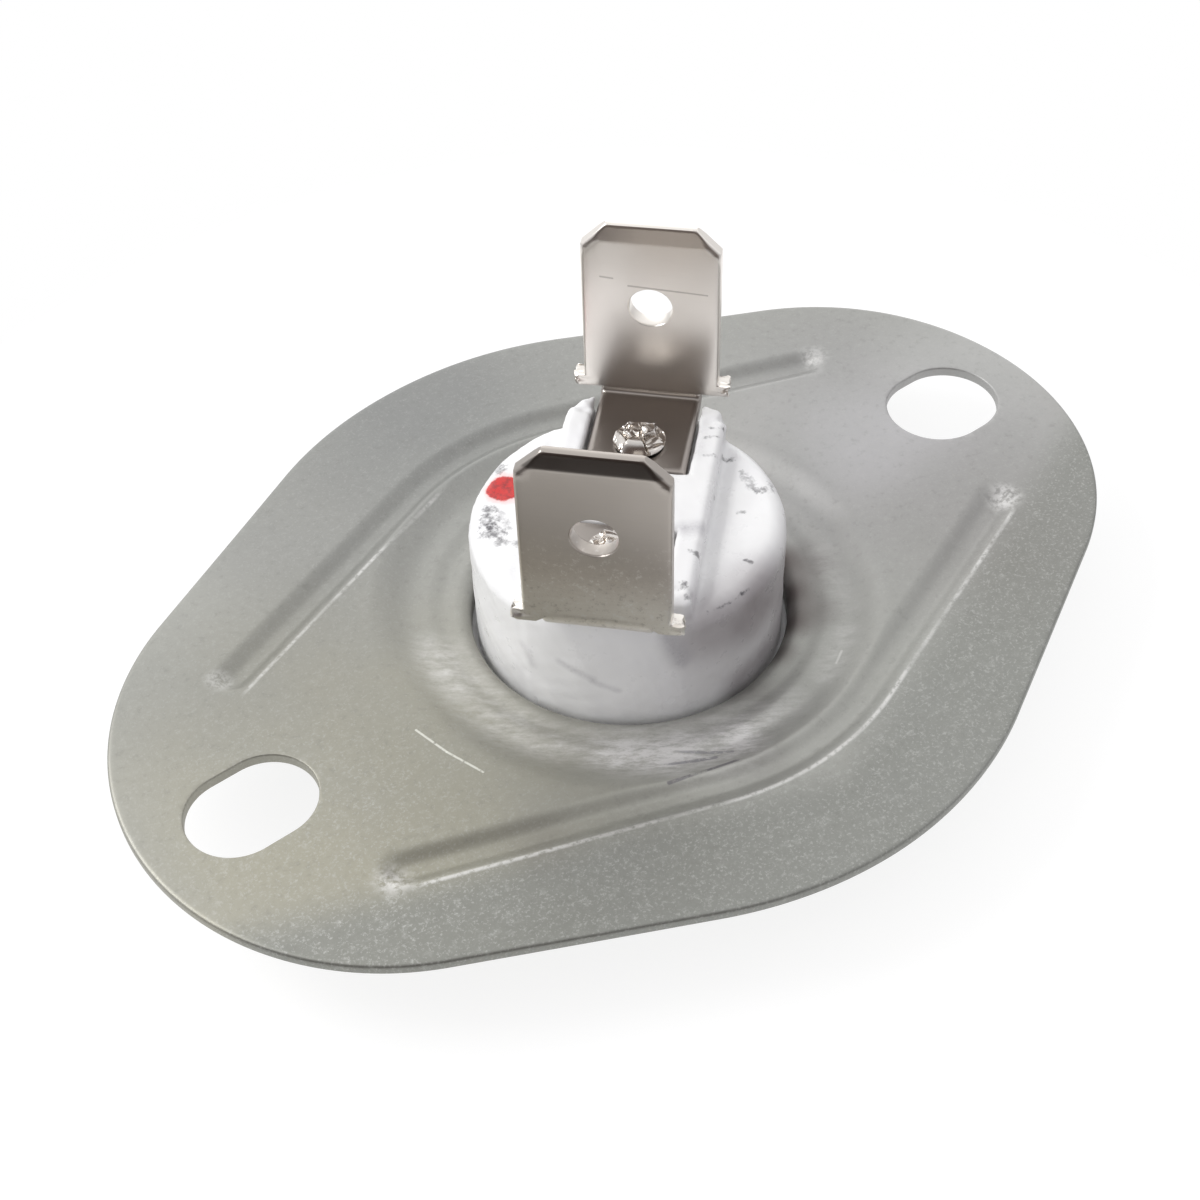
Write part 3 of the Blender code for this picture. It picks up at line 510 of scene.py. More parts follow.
ceramic = {
    "blockHalf": 3.75,
    "blockRound": 0.38,
    "blockRadius": 7.18,
    "pocketHalf": 2.55,
    "pocketEnd": 1.8,
    "pocketJoin": 0.24,
    "rivetHole": 0.75,
    "shoulderRound": 0.85,
    "crown": 0.14,
    "crownRadius": 6.2,
    "valleyRadius": 0.9,
    "valleyDepth": 0.25,
    "fillet": 0.3,
    "cavityRadius": 5.6,
    "cavityJoin": 0.1,
    "counterbore": (6.45, 2.43),     # radius and top
    "roof": 7.28,
    "ledge": (1.9, 2.1, 5.58),       # half width, front and underside of the ledge at the rear of the chamber
    "relief": ((-1.7, -2.15, 6.78), (4.1, 2.1, 8.18)),  # corners of the room above the contact arm
    "flangeRadius": 8,
    "flangeTop": 2.53,
    "flangeJoin": 0.15,
    "bottom": 0.78,
    "step": 0.125,
    "bounds": ((-8.3, -8.3, 0.5), (8.3, 8.3, 11)),
    "waves": ((0.018, 2.4, 11), (0.0072, 0.7, 12)),  # height, length and random order
    "wavesFrom": 3,        # the hidden foot below this height stays plain
    "knobs": (0.085, 0.9, 17, 24),   # the same of the uneven ends of the rails, and the number of waves
    "knobSink": 0.02,
    "knobsFrom": ((2.3, 0.4), (5, 0.7), (9.2, 0.5)),  # start and run, aside, ahead and up
    "dot": ((-3.36, 4.88, 9.6), 0.86),
    "tones": {
        "plain": (0.89, 0.89, 0.895),
        "cloud": (0.83, 0.825, 0.86),
        # painted shade colour
        "wallShadeTone": (0.3, 0.27, 0.28),
        # grey marks, and painted shade
        "smearAndShadeTone": (0.42, 0.41, 0.44),
        "scuff": (0.085, 0.08, 0.09),
        "dust": (0.4, 0.39, 0.41),
        "inkHalo": (0.85, 0.3, 0.28),
        "ink": (0.6, 0.008, 0.006),
        "darkInk": (0.3, 0.006, 0.008),
    },
    "scuffs": (              # start, end, reach, strength of the black marks
        ((-2.7, 6.1, 9.4), (-2.2, 6.3, 9.2), 0.3, 0.75),
        ((-4.77, 4.1, 9.5), (-5.35, 3.3, 9.5), 0.32, 0.85),
        ((-5.45, 3, 9.5), (-5.4, 2.75, 9.5), 0.42, 0.8),
        ((-4.45, 3.5, 9.5), (-4.75, 2.7, 9.5), 0.2, 0.45),
        ((-5.6, 2.2, 9.5), (-5, 1.5, 9.5), 0.2, 0.6),
        ((5.85, 1.05, 10.6), (6.3, 0.75, 10.5), 0.1, 0.8),
        ((5.2, 0.75, 10.6), (5.7, 0.42, 10.6), 0.1, 0.7),
        ((4.4, -0.2, 10.6), (4.85, -0.5, 10.6), 0.12, 0.8),
        ((5.75, 0.3, 9.4), (6.15, -0.3, 9.2), 0.16, 0.8),
        ((5.8, -1.3, 9.46), (5.5, -2.3, 9.53), 0.22, 0.55),
        ((5.5, -2.6, 9.5), (6.1, -2.8, 9.3), 0.2, 0.7),
        ((6.7, -1.6, 8.9), (6.3, -2.6, 9.3), 0.2, 0.5),
        ((3.7, -1.7, 9.6), (3.75, -1.75, 9.6), 0.14, 0.7),
        ((3.9, -3.15, 9.55), (4.1, -3.3, 9.55), 0.12, 0.6),
        ((-0.05, -4.5, 10.6), (0.1, -4.95, 10.5), 0.14, 0.75),
        ((2.2, -5.6, 9.5), (2.3, -5.9, 9.5), 0.1, 0.8),
        ((-1.6, -5.9, 10.6), (-1.85, -6.5, 10.5), 0.18, 0.8),
        ((-0.97, -6.81, 9.18), (0.18, -6.93, 9.2), 0.09, 1),
        ((0.18, -6.93, 9.2), (1.28, -6.86, 9.25), 0.08, 1),
    ),
    "wallShade": (            # the same for the painted shade on the front right wall, under the lip and by the gap
        ((-1.3, -7.1, 8.3), (2, -7, 8.1), 2.4, 0.8),
        ((2, -7, 8), (5.6, -4.6, 6.6), 2.6, 0.62),
        ((-1, -7.2, 6), (4.2, -5.9, 5.4), 2.2, 0.3),
        ((0.8, -7.2, 3.8), (5.8, -4.3, 4), 1.6, 0.6),
    ),
    "smearsAndShade": (              # the same for the grey marks; the last two are painted shade beside the front tab and under the lip
        ((5.9, 2.3, 10.6), (4.2, 0.4, 10.67), 0.5, 0.5),
        ((0.6, -3.3, 10.67), (1.4, -3.8, 10.67), 0.35, 1),
        ((-7.11, -1.5, 6.8), (-7, -1.9, 6), 0.25, 0.7),
        ((-6.5, -3.3, 6.9), (-5.7, -4.6, 6.3), 0.18, 0.7),
        ((-5.7, -4.6, 6.1), (-4.9, -5.4, 5.7), 0.15, 0.6),
        # painted shadow of the front tab
        ((-3, -6.65, 9), (-2.4, -6.9, 7.2), 0.4, 1.1),
        # painted shade under the lip at the front right
        ((2.5, -6.8, 8.4), (4.6, -5.6, 7.8), 0.5, 0.4),
    ),
}


def softUnion(a, b, reach):
    # the lesser distance, rounded where both are within reach
    h = np.clip(reach - np.abs(a - b), 0, None) / max(reach, 1e-9)
    return np.minimum(a, b) - h * h * reach / 4


def softCut(a, b, reach):
    return -softUnion(-a, b, reach)


def within(*faces):
    # distance from the space that lies behind all the faces, each given as the distance past it
    return np.maximum.reduce(faces)


def roundedWithin(rounding, *faces):
    # the same with a rounded corner: the root of squares of what is past the faces drawn in by the rounding
    inset = [face + rounding for face in faces]
    past = np.sqrt(sum(np.clip(face, 0, None) ** 2 for face in inset))
    return past + np.minimum(within(*inset), 0) - rounding


def hollowDistance(x, y, z, radius):
    # the counterbore, the chamber with the ledge left at its rear, and the room above the contact arm
    c = ceramic
    half, front, underside = c["ledge"]
    ledge = within(np.abs(x) - half, front - y, underside - z)
    chamber = within(radius - c["cavityRadius"], z - c["roof"], -ledge)
    (left, back, low), (right, ahead, high) = c["relief"]
    relief = within(left - x, x - right, back - y, y - ahead, low - z, z - high)
    bore, boreTop = c["counterbore"]
    return np.minimum.reduce((chamber, relief, within(radius - bore, z - boreTop)))


def ceramicDistance(points):
    # signed distance of the ceramic, built from cylinders and boxes with rounded joins; here the terminals
    # run along Y
    c = ceramic
    x, y, z = points[..., 0], points[..., 1], points[..., 2]
    aside, ahead, radius = np.abs(x), np.abs(y), np.hypot(x, y)
    top = shared["shoulderTop"] + c["crown"] * np.clip(1 - (radius / c["crownRadius"]) ** 2, -1, 1)
    solid = roundedWithin(c["shoulderRound"], radius - shared["bodyRadius"], z - top)
    valleyHeight = shared["shoulderTop"] + c["valleyRadius"] - c["valleyDepth"]
    valley = np.hypot(aside - c["blockHalf"], z - valleyHeight) - c["valleyRadius"]
    solid = softCut(solid, valley, c["fillet"])
    blockFaces = aside - c["blockHalf"], z - shared["blockTop"], radius - c["blockRadius"]
    solid = softUnion(solid, roundedWithin(c["blockRound"], *blockFaces), c["fillet"])
    pocket = within(aside - c["pocketHalf"], c["pocketEnd"] - ahead, shared["pocketFloor"] - z)
    solid = softCut(solid, pocket, c["pocketJoin"])
    rivetHole = np.hypot(x, ahead - shared["rivetOffset"]) - c["rivetHole"]
    solid = within(solid, -rivetHole)
    flange = within(radius - c["flangeRadius"], z - c["flangeTop"])
    solid = within(softUnion(solid, flange, c["flangeJoin"]), c["bottom"] - z)
    solid = softCut(solid, hollowDistance(x, y, z, radius), c["cavityJoin"])
    railEnd = 1
    for distance, (start, run) in zip((aside, ahead, z), c["knobsFrom"]):
        railEnd = railEnd * smooth((distance - start) / run)
    height, length, seed, count = c["knobs"]
    solid = solid + railEnd * (height * ripple(points, length, seed, count) + c["knobSink"])
    seen = smooth(z - c["wavesFrom"])
    for height, length, seed in c["waves"]:
        solid = solid + seen * height * ripple(points, length, seed)
    return solid


def implicitSurface(distance, low, high, step):
    # surface nets: a point in each cell that the surface crosses, at the mean of the crossings on its edges,
    # and a quad round each crossed grid edge; Newton steps p - f g / g.g then pull the points on to f = 0; the
    # bounds have to lie clear of the surface
    axes = [np.arange(a, b + step, step) for a, b in zip(low, high)]
    grid = np.stack(np.meshgrid(*axes, indexing="ij"), axis=-1)
    value = distance(grid)
    inside = value < 0
    total = np.zeros((*(n - 1 for n in value.shape), 3))
    count = np.zeros(total.shape[:3])
    crossed = []
    for axis in range(3):
        # views with this axis first
        v, g, inner, sums, counts = (np.moveaxis(a, axis, 0) for a in (value, grid, inside, total, count))
        hit = inner[:-1] != inner[1:]
        point = g[:-1].copy()
        point[..., axis] += np.where(hit, v[:-1] / np.where(hit, v[:-1] - v[1:], 1), 0) * step
        crossed.append(np.moveaxis(hit, 0, axis))
        for a in (0, 1):
            for b in (0, 1):
                take = slice(None), slice(a, a + counts.shape[1]), slice(b, b + counts.shape[2])
                sums += point[take] * hit[take][..., None]
                counts += hit[take]
    used = count > 0
    index = np.full(count.shape, -1)
    index[used] = np.arange(np.count_nonzero(used))
    points = total[used] / count[used][:, None]
    faces = []
    for axis, hit in enumerate(crossed):
        a, b = np.delete(np.eye(3, dtype=int), axis, axis=0)
        place = np.argwhere(hit)
        quad = np.stack([index[tuple((place - shift).T)] for shift in (0 * a, a, a + b, b)], axis=1)
        flip = inside[tuple(place.T)] ^ (axis == 1)
        quad[flip] = quad[flip][:, ::-1]
        faces.append(quad)
    small = step * 0.02
    for _ in range(3):
        f = distance(points)
        rises = [distance(points + small * d) - distance(points - small * d) for d in np.eye(3)]
        g = np.stack(rises, axis=1) / (2 * small)
        move = (f / np.maximum((g ** 2).sum(axis=1), 0.2))[:, None] * g
        points = points - np.clip(move, -step / 2, step / 2)
    return points, np.concatenate(faces)


def makeCeramic():
    points, faces = implicitSurface(ceramicDistance, *ceramic["bounds"], ceramic["step"])
    return makeMesh("ceramic_shell", turnTo(points, 1), faces, merge=0.0005)


terminal = {
    "sheet": 0.8,
    "start": 1.9,
    "stand": 7.17,           # inner face of the tab from the middle
    "footHalf": 2.38,
    "tabHalf": 3.175,
    "earHalf": 3.72,
    "ears": {-1: (10.42, 10.98), 1: (10.8, 11.35)},  # lower and upper edge on the front and the rear terminal
    "fold": 0.25,
    "corner": 1.12,
    "bevel": 0.8,
    "bevelDepth": 0.19,
    "cornerBevel": 0.2,
    "hole": 1,
    "holeHeight": 15.63,
    "edge": 0.08,
    "level": (1.8, 27),      # the middle columns of the section: how far out they lie and their number
    "footEdge": 0.3,         # rounding along the foot, and along the tab's sides
    "sideEdge": 0.18,
    "edgeDepth": (0.7, 0.5),  # the share of it that comes off the face on the foot and on the tab
    "mouth": ((0.28, 0), (0.36, 0.02), (0.4, 0.06), (0.42, 0.1), (1, 0.5)),  # as the plate's punch
    "burr": (0.07, 3.25, 0.3),       # size, start and run of the torn metal at the ears
    "bow": (0.02, 7),      # height and length of the tab's slight waves
    "nickel": (0.73, 0.67, 0.615),
    "tones": {
        # painted reflection colours: the rear tab's pale tone and the front tab's pale lower part, which is
        # partly wear
        "rearReflection": (0.95, 0.91, 0.86),
        "lowReflectionAndWear": (0.96, 0.93, 0.88),
        "fleck": (0.97, 0.95, 0.92),
        # painted dark reflection on the rear tab's foot
        "foot": (0.17, 0.14, 0.125),
    },
    "hairlines": (           # start, end, reach and colour
        ((4.63, 5.57, 16.8), (7.05, 2.9, 16.6), 0.03, (0.2, 0.17, 0.15)),
        ((3.75, 6.5, 17.2), (4.15, 6.1, 17.15), 0.03, (0.25, 0.22, 0.2)),
    ),
}


def stripPath(along):
    # the sheet's middle line, one row for each place along it: place and height, turn of the sheet from the
    # level foot (0) to the upright tab (90 degrees), half width, and what is taken off each face
    t = terminal
    e = t["edge"]
    tip, corner, wide = shared["tabTip"], t["corner"], t["tabHalf"]
    floor = shared["footTop"] - t["sheet"] / 2
    middle = t["fold"] + t["sheet"] / 2
    centreY, centreZ = t["stand"] - t["fold"], shared["footTop"] + t["fold"]
    foot, upright = t["footHalf"], math.pi / 2
    rows = [(t["start"], floor, 0, foot - e, 1), (t["start"], floor, 0, foot - e, e)]
    rows += [(t["start"] + 0.3 * e, floor, 0, foot - 0.3 * e, 0.3 * e)]
    rows += [(y, floor, 0, foot, 0) for y in np.linspace(t["start"] + e, centreY - 0.05, 16)]
    rows += [(centreY + middle * math.sin(a), centreZ - middle * math.cos(a), a, foot, 0)
             for a in np.linspace(0, upright, 13)]
    tabY = centreY + middle
    high, ear = t["ears"][along][1], t["earHalf"]
    start = centreZ + 0.02
    sides = [(start, ear - e), (start + 0.3 * e, ear - 0.3 * e)]
    sides += [(z, ear) for z in np.linspace(start + e, high - e, 9)]
    sides += [(high - 0.3 * e, ear - 0.3 * e), (high, ear - e), (high, wide + 0.08), (high + 0.06, wide)]
    sides += [(z, wide) for z in np.linspace(high + 0.4, tip - corner - 0.15, 26)]
    sides += [(tip - corner + s, wide - max(s, 0)) for s in (-0.05, 0, 0.05)]
    sides += [(z, wide - corner + tip - z) for z in np.linspace(tip - corner + 0.12, tip - e, 12)]
    rows += [(tabY, z, upright, half, 0) for z, half in sides]
    last = wide - corner
    rows += [(tabY, tip - 0.3 * e, upright, last + 0.3 * e, 0.3 * e), (tabY, tip, upright, last, e)]
    rows += [(tabY, tip, upright, last, 1)]
    return np.array(rows).T[..., None]


def makeTerminal(name, along, seed):
    # an oblong section with quarter-round edges carried along the strip: the half thickness less the row's own
    # loss, the bevel's ramp towards the tip and the ramp beside each cut corner; the ears hang below the fold
    t = terminal
    y, z, turn, width, loss = stripPath(along)
    upright = turn / (math.pi / 2)
    e = t["footEdge"] + (t["sideEdge"] - t["footEdge"]) * upright
    onFoot, onTab = t["edgeDepth"]
    quarter = np.radians([0, 20, 40, 60, 80, 90])
    reach, columns = t["level"]
    inner = np.linspace(-reach, reach, columns)
    between = reach + (width - e - reach) * np.array([[0.25, 0.5, 0.75]])
    right = np.concatenate([between, width - e * (1 - np.sin(quarter))], axis=1)
    rounded = (onFoot + (onTab - onFoot) * upright) * e * (1 - np.cos(quarter))
    drop = np.concatenate([np.zeros((len(y), 3)), rounded], axis=1)
    face = np.concatenate([-right[:, ::-1], np.repeat(inner[None], len(y), axis=0), right], axis=1)
    drops = np.concatenate([drop[:, ::-1], np.zeros((len(y), columns)), drop], axis=1)
    fromTip = shared["tabTip"] - z
    fromCorner = (t["tabHalf"] - t["corner"] + fromTip - np.abs(face)) / math.sqrt(2)
    ramp = np.clip(1 - fromTip / t["bevel"], 0, 1)
    cornerRamp = np.clip(1 - fromCorner / t["cornerBevel"], 0, 1) * (fromTip < t["corner"] + 0.5)
    thin = t["bevelDepth"] * np.maximum(ramp, 0.6 * cornerRamp)
    depth = np.clip(t["sheet"] / 2 - loss - thin - drops, 0, None)
    wall = np.linspace(1, -1, 9)[1:-1]
    rightX, leftX = (np.repeat(face[:, i:][:, :1], len(wall), axis=1) for i in (-1, 0))
    x = np.concatenate([face, rightX, face[:, ::-1], leftX], axis=1)
    n = np.concatenate([depth, depth[:, -1:] * wall, -depth[:, ::-1], -depth[:, :1] * wall], axis=1)
    low, high = t["ears"][along]
    start = shared["footTop"] + t["fold"] + 0.02
    beside = smooth((np.abs(x) - t["footHalf"] - 0.03) / 0.08) * (upright > 0.99)
    hang = beside * np.clip((high - z) / (high - start), 0, 1) * (start - low)
    points = np.stack([x, y + n * np.sin(turn), z - n * np.cos(turn) - hang], axis=-1)
    size, burrStart, burrRun = t["burr"]
    burr = np.clip((np.abs(x) - burrStart) / burrRun, 0, 1)[..., None]
    torn = np.stack([ripple(points, 0.42, seed + i, 16) for i in range(3)], axis=-1)
    points = points + burr * (torn - (0.7, 0, 0) * np.sign(points)) * size
    height, length = t["bow"]
    points[..., 1] += height * ripple(points * (1, 0, 1), length, seed + 5) * np.sin(turn)
    item = makeMesh(name, points.reshape(-1, 3), gridFaces(*x.shape, False, True), merge=0.004)
    cutHole(item, t["hole"], t["holeHeight"])
    coordinates = np.empty(len(item.data.vertices) * 3, dtype=np.float32)
    item.data.vertices.foreach_get("co", coordinates)
    turned = turnTo(coordinates.reshape(-1, 3), along)
    item.data.vertices.foreach_set("co", np.ascontiguousarray(turned, dtype=np.float32).ravel())
    return item


def cutHole(item, radius, height):
    # the locking hole, its mouth rounded on both faces
    middle = terminal["stand"] + terminal["sheet"] / 2
    mouth = terminal["mouth"]
    angle = np.linspace(0, 2 * math.pi, 64, endpoint=False)
    rings = []
    for offset, back in [*((-offset, back) for offset, back in reversed(mouth)), *mouth]:
        x, z = (radius + back) * np.cos(angle), (radius + back) * np.sin(angle)
        rings.append(np.stack([x, 0 * angle + middle + offset, height + z], axis=1))
    low, high = ((0, middle + way * mouth[-1][0], height) for way in (-1, 1))
    cut(item, ringTool("hole", rings, low, high))


rivet = {
    "head": 1.22,
    "height": 0.6,
    "dome": 0.26,
    "dent": (0.26, 0.3),     # depth and radius of the sunk middle
    "shank": 0.65,
    "steps": 168,
    "facets": 13,
    "tilt": 0.6,
    "facetMost": 0.16,
    "lift": 0.12,
    "crack": (0.26, 0.16),   # depth and width of the gaps between facets
    "innerHead": 1.2,
    "innerHeight": 0.5,
    "innerSeats": {-1: 6.48, 1: 4.88},  # height of the contact strips' upper faces, front and rear
}


def makeRivet(name, along, seed):
    # a dome with a sunk middle, turned round the axis; its top is the facet of the nearest of some random
    # places, each facet tilted its own way, and the metal drops where two facets are equally near
    r = rivet
    head, innerHead, innerSeat = r["head"], r["innerHead"], r["innerSeats"][along]
    seat = shared["footTop"] + 0.1
    rings = np.linspace(0, 1, 26)
    dentDepth, dentRadius = r["dent"]
    dent = dentDepth * np.exp(-((rings * head) / dentRadius) ** 2)
    dome = seat + r["height"] - dent - r["dome"] * rings ** 4
    profile = list(zip(rings * (head - 0.06), dome))
    lower = innerSeat - r["innerHeight"]
    profile += [
        (head, dome[-1] - 0.08), (head, seat + 0.1), (head - 0.07, seat), (r["shank"], seat),
        (r["shank"], innerSeat), (innerHead - 0.1, innerSeat), (innerHead, innerSeat - 0.15),
        (innerHead, lower + 0.15), (r["shank"], lower), (0, lower),
    ]
    source = np.random.default_rng(seed)
    places = source.uniform(-1.3, 1.3, (r["facets"], 2))
    tilts = source.normal(0, r["tilt"], (r["facets"], 2))
    lifts = source.uniform(-r["lift"], 0, r["facets"])
    crackDepth, crackWidth = r["crack"]

    def peen(angle, radius, height):
        spot = np.stack([radius * np.cos(angle), radius * np.sin(angle)], axis=-1)
        away = spot[..., None, :] - places
        distance = np.linalg.norm(away, axis=-1)
        order = np.argsort(distance, axis=-1)
        nearest = order[..., 0]
        first, second = np.moveaxis(np.take_along_axis(distance, order[..., :2], axis=-1), -1, 0)
        own = np.take_along_axis(away, nearest[..., None, None], axis=-2)[..., 0, :]
        most = r["facetMost"]
        facet = np.clip((own * tilts[nearest]).sum(axis=-1), -most, most) + lifts[nearest]
        crack = 1 - smooth((second - first) / crackWidth)
        onHead = smooth((height - seat - 0.1) / 0.2)
        drop = onHead * (facet - 0.08 - crackDepth * crack)
        reach = 1 - onHead * smooth((radius - 0.7) / 0.5) * (0.1 * crack + 0.05)
        return radius * reach, np.where(onHead > 0, np.maximum(height + drop, seat + 0.06), height)

    points = turnedPoints(profile, r["steps"], peen) + (0, along * shared["rivetOffset"], 0)
    faces = gridFaces(r["steps"], len(profile), True, False)
    return makeMesh(name, turnTo(points, 1), faces, merge=0.0008)


cap = {
    "sheet": 0.4,
    "pad": 5.6,
    "ledge": 0.68,
    "inner": 8.1,
    "brim": 10,
    "brimTop": 3.38,
    "bend": 0.3,
    "corner": 0.8,
    "steps": 256,
}


def makeCap():
    # the sheet's inner face out to the brim and its outer face back, carried round the axis
    c = cap
    s, pad, brim, top = c["sheet"], c["pad"], c["brim"], c["brimTop"]
    inside, outer = c["corner"] - s, c["inner"] + s
    profile = [
        (0, s), (pad * 0.5, s), (pad - 0.1, s), (pad, s + 0.02), (pad + 0.28, c["ledge"]),
        *arc(c["inner"] - inside, c["ledge"] + inside, inside, -90, 0, 8),
        *arc(c["inner"] + c["bend"], top - c["bend"], c["bend"], 180, 90, 8),
        (brim - 0.08, top), (brim, top - 0.08), (brim, top - s + 0.08), (brim - 0.08, top - s),
        (outer + 0.14, top - s), (outer + 0.03, top - s - 0.04), (outer, top - s - 0.14),
        *arc(outer - c["corner"], c["ledge"] - s + c["corner"], c["corner"], 0, -90, 10),
        (pad + 0.3, c["ledge"] - s), (pad + 0.02, 0.02), (pad - 0.1, 0), (pad * 0.5, 0), (0, 0),
    ]
    points = turnedPoints(profile, c["steps"])
    return makeMesh("cap_cup", points, gridFaces(c["steps"], len(profile), True, False), merge=0.0008)


def highlightAndRubPlaces(g):
    # painted highlights on the plate: the near lip of each groove (a straight arm and an arc of the middle,
    # both arms folded onto one), the far lip at the left and the groove tips, and flecks on the dish's front
    # that are partly wear and partly a painted reflection
    p = plate
    fine = g.noise(0.3, 4, 0.7)
    brushed = g.noise(0.5, 5, 0.75, g.stretched(*p["brush"]))
    long = g.noise(3, 3, 0.5)
    sin, cos = math.sin(p["grooveSlope"]), math.cos(p["grooveSlope"])
    share, soft, full = p["lipHighlight"]
    near, far = (p["grooveRadius"] + way * p["grooveHalf"] * share for way in (1, -1))
    side = g.x.math("ABSOLUTE")
    radius = g.vector("LENGTH", g.vector("MULTIPLY", g.where, (1, 1, 0)), out="Value")
    inArm = side.step(near * sin, near * sin + 0.3)
    beforeTip = side.step(p["grooveTip"] + 0.6, p["grooveTip"] - 0.4)
    arm = (g.y * cos - side * sin + near).band(soft, full) * inArm
    bow = (radius - near).band(soft, full) * (1 - inArm) * g.y.step(0, -1)
    rear = (g.y * cos + side * sin - far).band(0.14, full) * g.x.step(-2, -5)
    lines = (arm + bow + rear) * beforeTip * (long.step(0.34, 0.56) * 0.4 + 0.2)
    total = lines * fine.step(0.3, 0.55)
    for place, reach, strength in p["tips"]:
        total = total + g.spot(place, reach * 0.2, reach) * fine.step(0.35, 0.6) * strength
    # bands in the dish, partly rubbed wear and partly a painted reflection
    for start, end, reach, strength in p["scuffs"]:
        total = total + g.line(start, end, 0, reach * 1.8) * brushed.step(0.22, 0.85) * strength
    return total.clamp()


def zincMaterial():
    # satin zinc on rolled sheet: frosty grain, olive at the left and lavender at the right, the front flange
    # duller, broad clouds, painted brown shadow beside the ceramic, painted highlights on the groove lips and
    # tips, rubbed places in the dish that are partly a painted reflection, and a few scratches
    g, p, tones = Surface("satin_zinc"), plate, plate["tones"]
    grain = g.noise(0.13, 4, 0.65)
    frost = g.noise(0.45, 5, 0.75)
    cloud = g.noise(7, 3, 0.5)
    front = (g.y - g.x.math("ABSOLUTE") * math.tan(p["grooveSlope"])).step(-13.2, -16)
    tone = g.mix(g.spot((-17, -3, 4.9), 3, 15) * 0.95, tones["plain"], tones["olive"])
    tone = g.mix(g.spot((17, -1, 4.9), 2, 13) * 0.8, tone, tones["lavender"])
    tone = g.mix(front * 0.85, tone, tones["front"])
    for place, reach, strength, colour in p["clouds"]:
        tone = g.mix(g.spot(place, reach * 0.2, reach) * strength, tone, colour)
    tone = g.mix((cloud - 0.42) * 1.1, tone, tones["cloud"])
    frosty = front * 0.6 + g.spot((-20, -4, 4.9), 2, 9) * 0.5 + 0.5
    speckle = (frost.step(0.5, 0.75) * 0.2 + grain.step(0.5, 0.7) * 0.35) * frosty
    tone = g.mix(speckle, tone, tones["speckle"])
    tone = g.mix(frost.step(0.47, 0.3) * 0.22, tone, tones["pit"])
    # painted brown shadow beside the ceramic
    for place, reach, strength in p["shadowBrown"]:
        tone = g.mix(g.spot(place, 0, reach) * strength, tone, tones["shadowBrown"])
    # painted highlights on the groove lips and tips, and the dish bands that are partly a painted reflection
    rub = highlightAndRubPlaces(g)
    tone = g.mix(rub, tone, tones["highlightAndRub"])
    for start, end, reach, strength, colour in p["scratches"]:
        tone = g.mix(g.line(start, end, reach, reach) * frost.step(0.36, 0.5) * strength, tone, colour)
    rough = p["rough"] + (grain - 0.5) * 0.25 - rub * 0.12
    normal = g.bump(grain + frost * 0.6, 0.02, 0.3)
    return g.finish(Base_Color=tone, Roughness=rough, Metallic=p["metallic"], Normal=normal)


def glazeMaterial():
    # white ceramic with a thin glaze: painted shade on the front right wall, grey smears with two painted shade
    # marks among them, black scuffs in flecks, sparse dust and the red ink dot with its pale halo
    g, c, tones = Surface("white_glaze"), ceramic, ceramic["tones"]
    cloud = g.noise(2.5, 3, 0.5)
    fleck = g.noise(0.32, 4, 0.7)
    blot = g.noise(0.9, 3, 0.6)
    flake = g.noise(0.2, 5, 0.8)
    soot = g.noise(0.38, 4, 0.72)
    tone = g.mix((cloud - 0.42) * 1.2, tones["plain"], tones["cloud"])
    # painted shade on the front right wall
    for start, end, reach, strength in c["wallShade"]:
        tone = g.mix(g.line(start, end, 0.3, reach) * (cloud * 0.8 + 0.6) * strength, tone, tones["wallShadeTone"])
    # grey marks, two of them painted shade
    for start, end, reach, strength in c["smearsAndShade"]:
        tone = g.mix(g.line(start, end, 0, reach * 2) * flake * strength, tone, tones["smearAndShadeTone"])
    for start, end, reach, strength in c["scuffs"]:
        near = g.line(start, end, reach * 0.2, reach * 2.8) * 0.45 + soot
        tone = g.mix(near.step(0.77, 1.07) * strength, tone, tones["scuff"])
    tone = g.mix(fleck.step(0.68, 0.74) * blot.step(0.5, 0.62) * 0.3, tone, tones["dust"])
    place, reach = c["dot"]
    away = g.vector("DISTANCE", g.where, place, out="Value") + (blot - 0.5) * 0.35 + (fleck - 0.5) * 0.3
    tone = g.mix(away.step(reach + 0.4, reach) * 0.4, tone, tones["inkHalo"])
    ink = g.mix(soot.step(0.42, 0.66), tones["ink"], tones["darkInk"])
    tone = g.mix(away.step(reach + 0.05, reach - 0.08) * 0.96, tone, ink)
    normal = g.bump(g.noise(0.4, 3), 0.02, 0.25)
    return g.finish(Base_Color=tone, Roughness=0.3 + (blot - 0.5) * 0.2, Metallic=0, Normal=normal)


def metalMaterial(name, tone, rough, wear=None):
    # plated metal of a cloudy tone with fine grain; wear adds to its colour, its roughness and its relief
    g = Surface(name)
    cloud = g.noise(1.6, 4, 0.55)
    grain = g.noise(0.14, 4, 0.65)
    colour = g.mix((cloud - 0.4) * 1.2, tone, darker(tone, 0.82))
    gloss = (grain - 0.5) * 0.05 + (cloud - 0.5) * 0.07 + rough
    height = grain
    if wear:
        colour, gloss, height = wear(g, tone, cloud, colour, gloss, height)
    return g.finish(Base_Color=colour, Roughness=gloss, Metallic=1, Normal=g.bump(height, 0.008, 0.16))


